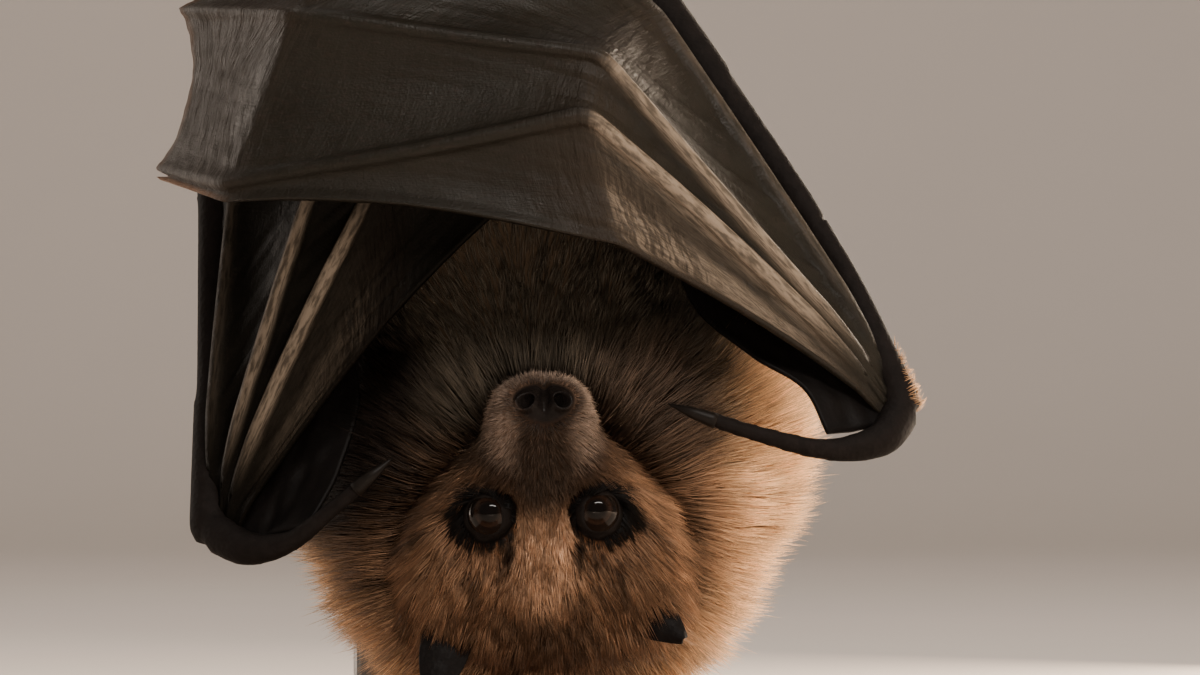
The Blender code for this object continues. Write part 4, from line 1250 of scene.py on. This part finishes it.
def lie_of_coat(root, normal, region):
    """The way the hair points along the skin."""
    local = in_body(root)
    from_nose = unit(root - MUZZLE_WHORL)
    from_crown = unit(root - BODY_WHORL)
    over_back = smoothstep(-6.0, 26.0, local[:, 1])[:, None] * 0.92
    trunk = from_crown * (1 - over_back) + (BODY_UP + DEPTH * 0.15) * over_back
    face_share = smoothstep(-36.0, -20.0, in_head(root)[:, 1])[:, None]
    face = from_nose * face_share + from_crown * (1 - face_share)
    # above the eyes the hair parts over the bare lids
    for side in (-1, 1):
        away = root - head(eye_place(side, 5.5))
        gap = np.linalg.norm(away, axis=1)
        heading = (face * unit(away)).sum(1)
        push = smoothstep(12.0, 6.5, gap) * np.clip(0.35 - heading, 0.0, 1.2)
        face = face + unit(away) * push[:, None]
    way = np.where((region == "head")[:, None], face, trunk)
    for side, wing in WINGS.items():
        shoulder, elbow = body(wing["shoulder"]), body(wing["elbow"])
        hip, knee = body(LEGS[side]["hip"]), body(LEGS[side]["knee"])
        middle = (shoulder + elbow) / 2
        same_side = np.sign(root[:, 0] - BODY_ORIGIN[0]) == np.sign(middle[0] - BODY_ORIGIN[0])
        near_arm = (region == "arm") & same_side
        way = np.where(near_arm[:, None], unit(elbow - shoulder), way)
        near_leg = (region == "thigh") & (np.linalg.norm(root - (hip + knee) / 2, axis=1) < 32)
        way = np.where(near_leg[:, None], unit(knee - hip), way)
    swirl = ripple(root, 14.0, 31) * 0.28 + ripple(root, 5.0, 32) * 0.16
    way = way - normal * (way * normal).sum(1, keepdims=True)
    way = unit(way)
    return unit(way + np.cross(normal, way) * swirl[:, None])


def coat_measures(root, region, rng):
    """Length, lift at the root, lift at the tip and half width of each tuft."""
    local, face = in_body(root), in_head(root)
    depth = np.where(region == "head", head_depth(root), torso_depth(root))
    mantle = smoothstep(40.0, 8.0, local[:, 2])
    widths = np.array(HEAD_RINGS)[::-1]
    flank = np.abs(face[:, 0]) / np.interp(face[:, 1], widths[:, 0], widths[:, 1])
    flank = smoothstep(0.42, 0.80, flank) * (region == "head")
    head_length = np.interp(face[:, 1], (-41.0, -28.0, -14.0, -4.0, 6.0, 14.0, 22.0, 27.0),
                            (11.5, 10.5, 8.8, 7.0, 5.4, 3.9, 2.9, 2.2))
    sheltered = smoothstep(10.0, 28.0, local[:, 2]) * smoothstep(2.0, -16.0, local[:, 1])
    cheek_length = np.interp(face[:, 1], (-41.0, -20.0, -4.0, 6.0, 12.0, 18.0, 27.0),
                             (13.0, 13.0, 12.5, 10.5, 7.0, 4.0, 2.8))
    head_length = head_length * (1 - flank) + cheek_length * flank
    trunk_length = (depth * (1.32 + 0.15 * mantle) + 1.5) * (1 - 0.4 * sheltered)
    length = np.select([region == "head", region == "torso", region == "forearm"],
                       [head_length, trunk_length, np.full(len(root), 3.4)], 6.5)
    length = length * rng.uniform(0.72, 1.16, len(root))
    stray = (region == "torso") & (rng.random(len(root)) < 0.035)
    length = np.where(stray, length * rng.uniform(1.1, 1.3, len(root)), length)
    lift = np.select([region == "head", region == "torso"],
                     [np.interp(face[:, 1], (-30.0, -8.0, 10.0, 27.0), (36.0, 28.0, 25.0, 30.0)),
                      (38.0 + 12.0 * mantle) * (1 - 0.62 * sheltered)],
                     16.0)
    lift = lift + 7.0 * flank
    fuzz = smoothstep(8.0, 20.0, face[:, 1]) * (region == "head")
    lift = np.radians(lift + 6.0 * fuzz + rng.normal(0, 6.0, len(root)) * (1.0 + fuzz))
    half = np.select([region == "head", region == "torso"],
                     [np.interp(face[:, 1], (-30.0, -6.0, 10.0, 27.0), (0.150, 0.120, 0.100, 0.070)), 0.165],
                     np.where(region == "forearm", 0.09, 0.26))
    hidden = (region == "torso") & ((local[:, 2] > 55) | (local[:, 1] > 18))
    half = np.where(hidden, half * 1.6, half)
    for side in (-1, 1):
        gap = np.linalg.norm(root - head((side * (EYE_SPREAD + 0.8), 0.2, 5.0)), axis=1)
        length = length * (0.50 + 0.50 * smoothstep(5.5, 11.0, gap))
        lift = lift * (0.75 + 0.25 * smoothstep(5.5, 11.0, gap))
    return length, lift, lift * 0.62, half * rng.uniform(0.8, 1.2, len(root))


def gather(root, mid, tip, pull, rng):
    """Draws neighbouring tips together into small locks; gives each lock a shade."""
    centres = rng.choice(len(root), max(int(len(root) * LOCK_SHARE), 1), replace=False)
    tree = KDTree(len(centres))
    for number, index in enumerate(centres):
        tree.insert(root[index], number)
    tree.balance()
    lock = np.array([tree.find(place)[1] for place in root])
    chief = centres[lock]
    reach = np.linalg.norm(root[chief] - root, axis=1, keepdims=True)
    hold = pull[:, None] * np.clip(1.4 - reach / 3.0, 0.2, 1.0)
    tip = tip + (tip[chief] - tip) * hold
    mid = mid + (mid[chief] - mid) * hold * 0.45
    return mid, tip, rng.random(len(centres))[lock]


def unwrap(root, region):
    """The place of each root on a flat lay of the skin: round the head, or round the trunk with its limbs."""
    local, face = in_body(root), in_head(root)
    trunk_turn = np.arctan2(local[:, 0], -local[:, 1]) / (2 * math.pi) + 0.5
    trunk = np.stack((trunk_turn, (local[:, 2] + 62.0) / 230.0), -1)
    head_turn = np.arctan2(face[:, 0], face[:, 2] + 6.0) / (2 * math.pi) + 0.5
    round_head = np.stack((head_turn, (face[:, 1] + 50.0) / 86.0), -1)
    return np.clip(np.where((region == "head")[:, None], round_head, trunk), 0.004, 0.996)


def tuft_mesh(name, root, mid, tip, across, upright, half, shade, lay):
    """Many tufts as one mesh, each a ring in the skin, a ring half way and a point."""
    count, sides = len(root), STRAND_SIDES
    turn = 2 * math.pi * np.arange(sides) / sides + math.pi / 2
    ring = (across[:, None] * np.cos(turn)[None, :, None] + upright[:, None] * np.sin(turn)[None, :, None])
    places = np.empty((count, 2 * sides + 1, 3))
    places[:, :sides] = root[:, None] + ring * (half[:, None, None])
    places[:, sides : 2 * sides] = mid[:, None] + ring * (half[:, None, None] * 0.78)
    places[:, -1] = tip
    start = np.arange(count)[:, None] * (2 * sides + 1)
    nxt = (np.arange(sides) + 1) % sides
    now = np.arange(sides)
    quads = np.stack((now, nxt, nxt + sides, now + sides), -1).ravel()
    points = np.stack((now + sides, nxt + sides, np.full(sides, 2 * sides)), -1).ravel()
    cap = np.arange(sides)[::-1]
    pattern = np.concatenate((quads, points, cap))
    loops = (start + pattern[None, :]).ravel()
    sizes = np.concatenate((np.full(sides, 4), np.full(sides, 3), (sides,)))
    starts = np.concatenate(((0,), np.cumsum(sizes)[:-1]))
    mesh = bpy.data.meshes.new(name)
    mesh.vertices.add(places.shape[0] * places.shape[1])
    mesh.loops.add(len(loops))
    mesh.polygons.add(count * len(sizes))
    mesh.vertices.foreach_set("co", (places * MM).ravel())
    mesh.loops.foreach_set("vertex_index", loops.astype("i4"))
    begin = (np.arange(count)[:, None] * len(pattern) + starts[None, :]).ravel()
    mesh.polygons.foreach_set("loop_start", begin.astype("i4"))
    mesh.update(calc_edges=True)
    each = 2 * sides + 1
    store(mesh, "root", np.repeat(root * MM, each, axis=0), "FLOAT_VECTOR")
    store(mesh, "along", np.tile(np.repeat((0.0, 0.5, 1.0), (sides, sides, 1)), count))
    store(mesh, "shade", np.repeat(shade, each))
    patch = np.zeros((each, 2))
    patch[:sides, 0] = patch[sides : 2 * sides, 0] = np.cos(turn)
    patch[:sides, 1], patch[sides : 2 * sides, 1], patch[-1, 1] = -1.0, 0.2, 1.0
    lay_uv(mesh, "OFBake", (lay[:, None] + patch[None] * PATCH_HALF).reshape(-1, 2))
    return mesh


def make_coat(skin_mesh, finish):
    """The tufts, in pieces by the part of the animal and then by their place round it."""
    rng = np.random.default_rng(417)
    root, normal, region = scatter(skin_mesh, rng, 1.0)
    way = lie_of_coat(root, normal, region)
    jitter = rng.normal(0, 0.16, len(root))
    way = unit(way + np.cross(normal, way) * jitter[:, None])
    length, lift, tip_lift, half = coat_measures(root, region, rng)
    sunk = root - normal * np.minimum(0.5, 0.06 * length)[:, None]
    step = (way * np.cos(lift)[:, None] + normal * np.sin(lift)[:, None]) * (length * 0.5)[:, None]
    mid = sunk + step
    late = way * np.cos(tip_lift)[:, None] + normal * np.sin(tip_lift)[:, None]
    tip = mid + late * (length * 0.5)[:, None]
    head_pull = np.interp(in_head(root)[:, 1], (-8.0, 8.0, 20.0), (0.62, 0.45, 0.12))
    pull = np.where(region == "head", head_pull, 0.38)
    mid, tip, lock_shade = gather(root, mid, tip, pull, rng)
    shade = np.clip(0.5 * lock_shade + 0.5 * rng.random(len(root)), 0, 1)
    heading = unit(mid - sunk)
    across = unit(np.cross(heading, normal))
    upright = np.cross(across, heading)
    lay = unwrap(root, region)
    local = in_body(root)
    groups = np.select(
        [region == "head", (region == "torso") & (local[:, 2] < 45), region == "torso"],
        ["head", "mantle", "trunk"], "limbs")
    for group in ("head", "mantle", "trunk", "limbs"):
        chosen = np.flatnonzero(groups == group)
        if not len(chosen):
            continue
        chosen = chosen[np.argsort(lay[chosen, 0], kind="stable")]
        pieces = max(1, math.ceil(len(chosen) / TUFTS_PER_PIECE))
        for number, part in enumerate(np.array_split(chosen, pieces), 1):
            name = f"coat_{group}_{number}"
            mesh = tuft_mesh(name, sunk[part], mid[part], tip[part], across[part], upright[part], half[part],
                             shade[part], lay[part])
            show(name, mesh, finish)


# ---- the scene ----
# share of the half length from the middle, bend back, rise, radius
PERCH_LINE = (
    (-1.0, 1.5, -1.0, 9.2),
    (-0.72, 0.5, 0.2, 8.5),
    (-0.4, 0.0, 0.0, 8.3),
    (0.0, 0.0, 0.0, 8.3),
    (0.4, 0.0, 0.0, 8.3),
    (0.72, 0.4, 0.6, 8.0),
    (1.0, -0.5, 2.2, 7.4),
)
PERCH_HALF = 66.0
SAWN_RADIUS = 6.6


def make_perch(finish):
    """A cut length of branch with uneven bark and sawn ends."""
    x, y, z = PERCH_CENTRE
    line = [np.array((x + share * PERCH_HALF, y + bend, z + rise)) for share, bend, rise, _ in PERCH_LINE]
    mesh = tube(line, [radius for *_, radius in PERCH_LINE], 14, 16)
    work = opened(mesh)
    ends = [f for f in work.faces if len(f.verts) > 4]
    for _ in range(3):
        bmesh.ops.inset_individual(work, faces=ends, thickness=1.6 * MM, depth=0.0)
    settled(work, mesh)
    points = coordinates(mesh)
    away = points - np.array((0, y, z))
    away[:, 0] = 0
    radius = np.linalg.norm(away, axis=1)
    stretch = points * np.array((0.16, 1.0, 1.0))
    bark = ripple(stretch, 5.0, 3) * 0.28 + ripple(stretch, 2.4, 4) * 0.18 + ripple(points, 16.0, 6) * 0.25
    on_end = np.abs(points[:, 0] - x) > PERCH_HALF - 0.2
    points += unit(away) * np.where(on_end, 0.0, np.clip(bark, -0.8, 0.35))[:, None]
    place_vertices(mesh, points)
    store(mesh, "sawn", np.where(on_end & (radius < SAWN_RADIUS), 1.0, 0.0))
    show("perch_bark", mesh, finish, ["perch"])


def dress_node(name, finish):
    """Gives a node that keeps its own shape its finish."""
    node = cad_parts[name]
    if not node.material_slots:
        node.data.materials.append(finish)
    for slot in node.material_slots:
        slot.material = finish


# the sweep in metres, and the shares of its run where the bend starts and ends
FLOOR_FRONT = -3.0
FLOOR_LENGTH = 6.2
FLOOR_HALF_WIDTH = 6.0
BEND_START, BEND_END = 0.62, 0.78
BEND_RADIUS = 0.9
WALL_RISE = 18.0


def make_stage():
    """A pale floor that bends up into a backdrop."""
    work = bmesh.new()
    bmesh.ops.create_grid(work, x_segments=1, y_segments=40, size=1.0)
    for vert in work.verts:
        run = (vert.co.y + 1) / 2
        turn = np.clip((run - BEND_START) / (BEND_END - BEND_START), 0, 1) * math.pi / 2
        flat = min(run, BEND_START) / BEND_START * FLOOR_LENGTH + FLOOR_FRONT
        rise = BEND_RADIUS * (1 - math.cos(turn)) + max(run - BEND_END, 0) * WALL_RISE
        vert.co = (vert.co.x * FLOOR_HALF_WIDTH, flat + BEND_RADIUS * math.sin(turn), rise)
    mesh = settled(work)
    floor = bpy.data.objects.new("floor", mesh)
    bpy.context.scene.collection.objects.link(floor)
    mesh.shade_smooth()
    finish = Finish("pale_floor", 0.8, 0.2)
    place = finish.place()
    finish.colour(finish.mix(finish.noise(place, 3.0), (0.62, 0.55, 0.49), (0.66, 0.59, 0.53)))
    mesh.materials.append(finish.material)


def light(name, place, aim, size, power, colour, glossy=True):
    """A rectangular area light turned to its aim."""
    data = bpy.data.lights.new(name, "AREA")
    data.shape = "RECTANGLE"
    data.size, data.size_y = size
    data.energy = power
    data.color = colour
    obj = bpy.data.objects.new(name, data)
    obj.location = place
    obj.visible_glossy = glossy
    obj.rotation_euler = (Vector(aim) - Vector(place)).to_track_quat("-Z", "Y").to_euler()
    bpy.context.scene.collection.objects.link(obj)


def make_lights():
    """The key light, the glows round the animal, the wash on the backdrop and the studio air."""
    middle = (0.0, -0.01, 0.16)
    light("window", (0.35, -0.90, 0.99), middle, (0.90, 0.12), 9.5, (1.0, 0.93, 0.86))
    light("right_glow", (1.25, 0.10, 0.30), middle, (0.5, 0.9), 24.0, (1.0, 0.84, 0.66), False)
    light("back_glow", (0.75, 1.15, 0.28), middle, (1.0, 0.7), 34.0, (1.0, 0.82, 0.64))
    light("left_glow", (-1.15, 0.70, 0.40), middle, (0.6, 0.8), 6.0, (1.0, 0.86, 0.74))
    light("low_front", (0.10, -1.25, 0.05), (0.01, 0.0, 0.09), (0.6, 0.06), 11.5, (1.0, 0.90, 0.80), False)
    light("backdrop_wash", (0.0, 0.6, 1.9), (0.0, 3.2, 0.6), (2.0, 1.0), 60.0, (1.0, 0.92, 0.86))
    world = bpy.data.worlds.new("studio")
    world.use_nodes = True
    background = world.node_tree.nodes["Background"].inputs
    background["Color"].default_value = (1.0, 0.93, 0.86, 1.0)
    background["Strength"].default_value = 0.12
    bpy.context.scene.world = world


def make_camera():
    """A long lens, level with the face."""
    data = bpy.data.cameras.new("camera")
    data.sensor_width = 36.0
    data.lens = 191.0
    data.clip_start = 0.05
    data.clip_end = 30.0
    obj = bpy.data.objects.new("camera", data)
    obj.location = (0.022, -1.436, 0.149)
    obj.rotation_euler = (math.pi / 2, 0.0, 0.0)
    bpy.context.scene.collection.objects.link(obj)
    bpy.context.scene.camera = obj


# painted shade: the left wing's copy of the finish is darkened, and its specular lowered, as it lies in the
# right wing's shade
WING_SHADE_TONE = {"right": 1.0, "left": 0.26}

wing_skin = {side: make_wing_finish(f"wing_skin_{side}", shade_tone) for side, shade_tone in WING_SHADE_TONE.items()}
arm_skin, ear_leather = make_arm_membrane_finish(), make_ear_finish()
eye_glass, claw_horn = make_eye_finish(), make_claw_finish()
skin = make_skin(make_skin_finish())
make_coat(skin.data, make_coat_finish())
for side, wing in WINGS.items():
    make_wing(side, wing, wing_skin[side])
    make_arm_membranes(side, wing, arm_skin)
    show(f"toe_claws_{side}", toe_claws(side), claw_horn)
    show(f"thumb_claw_{side}", thumb_claw(wing), claw_horn)
for side, name in ((1, "right"), (-1, "left")):
    make_eye(side, name, eye_glass)
    make_ear(side, name, ear_leather)
make_perch(make_bark_finish())
dress_node("stand_base", make_wood_finish())
metal = make_metal_finish()
dress_node("stand_upright", metal)
dress_node("stand_arm", metal)
make_stage()
make_lights()
make_camera()
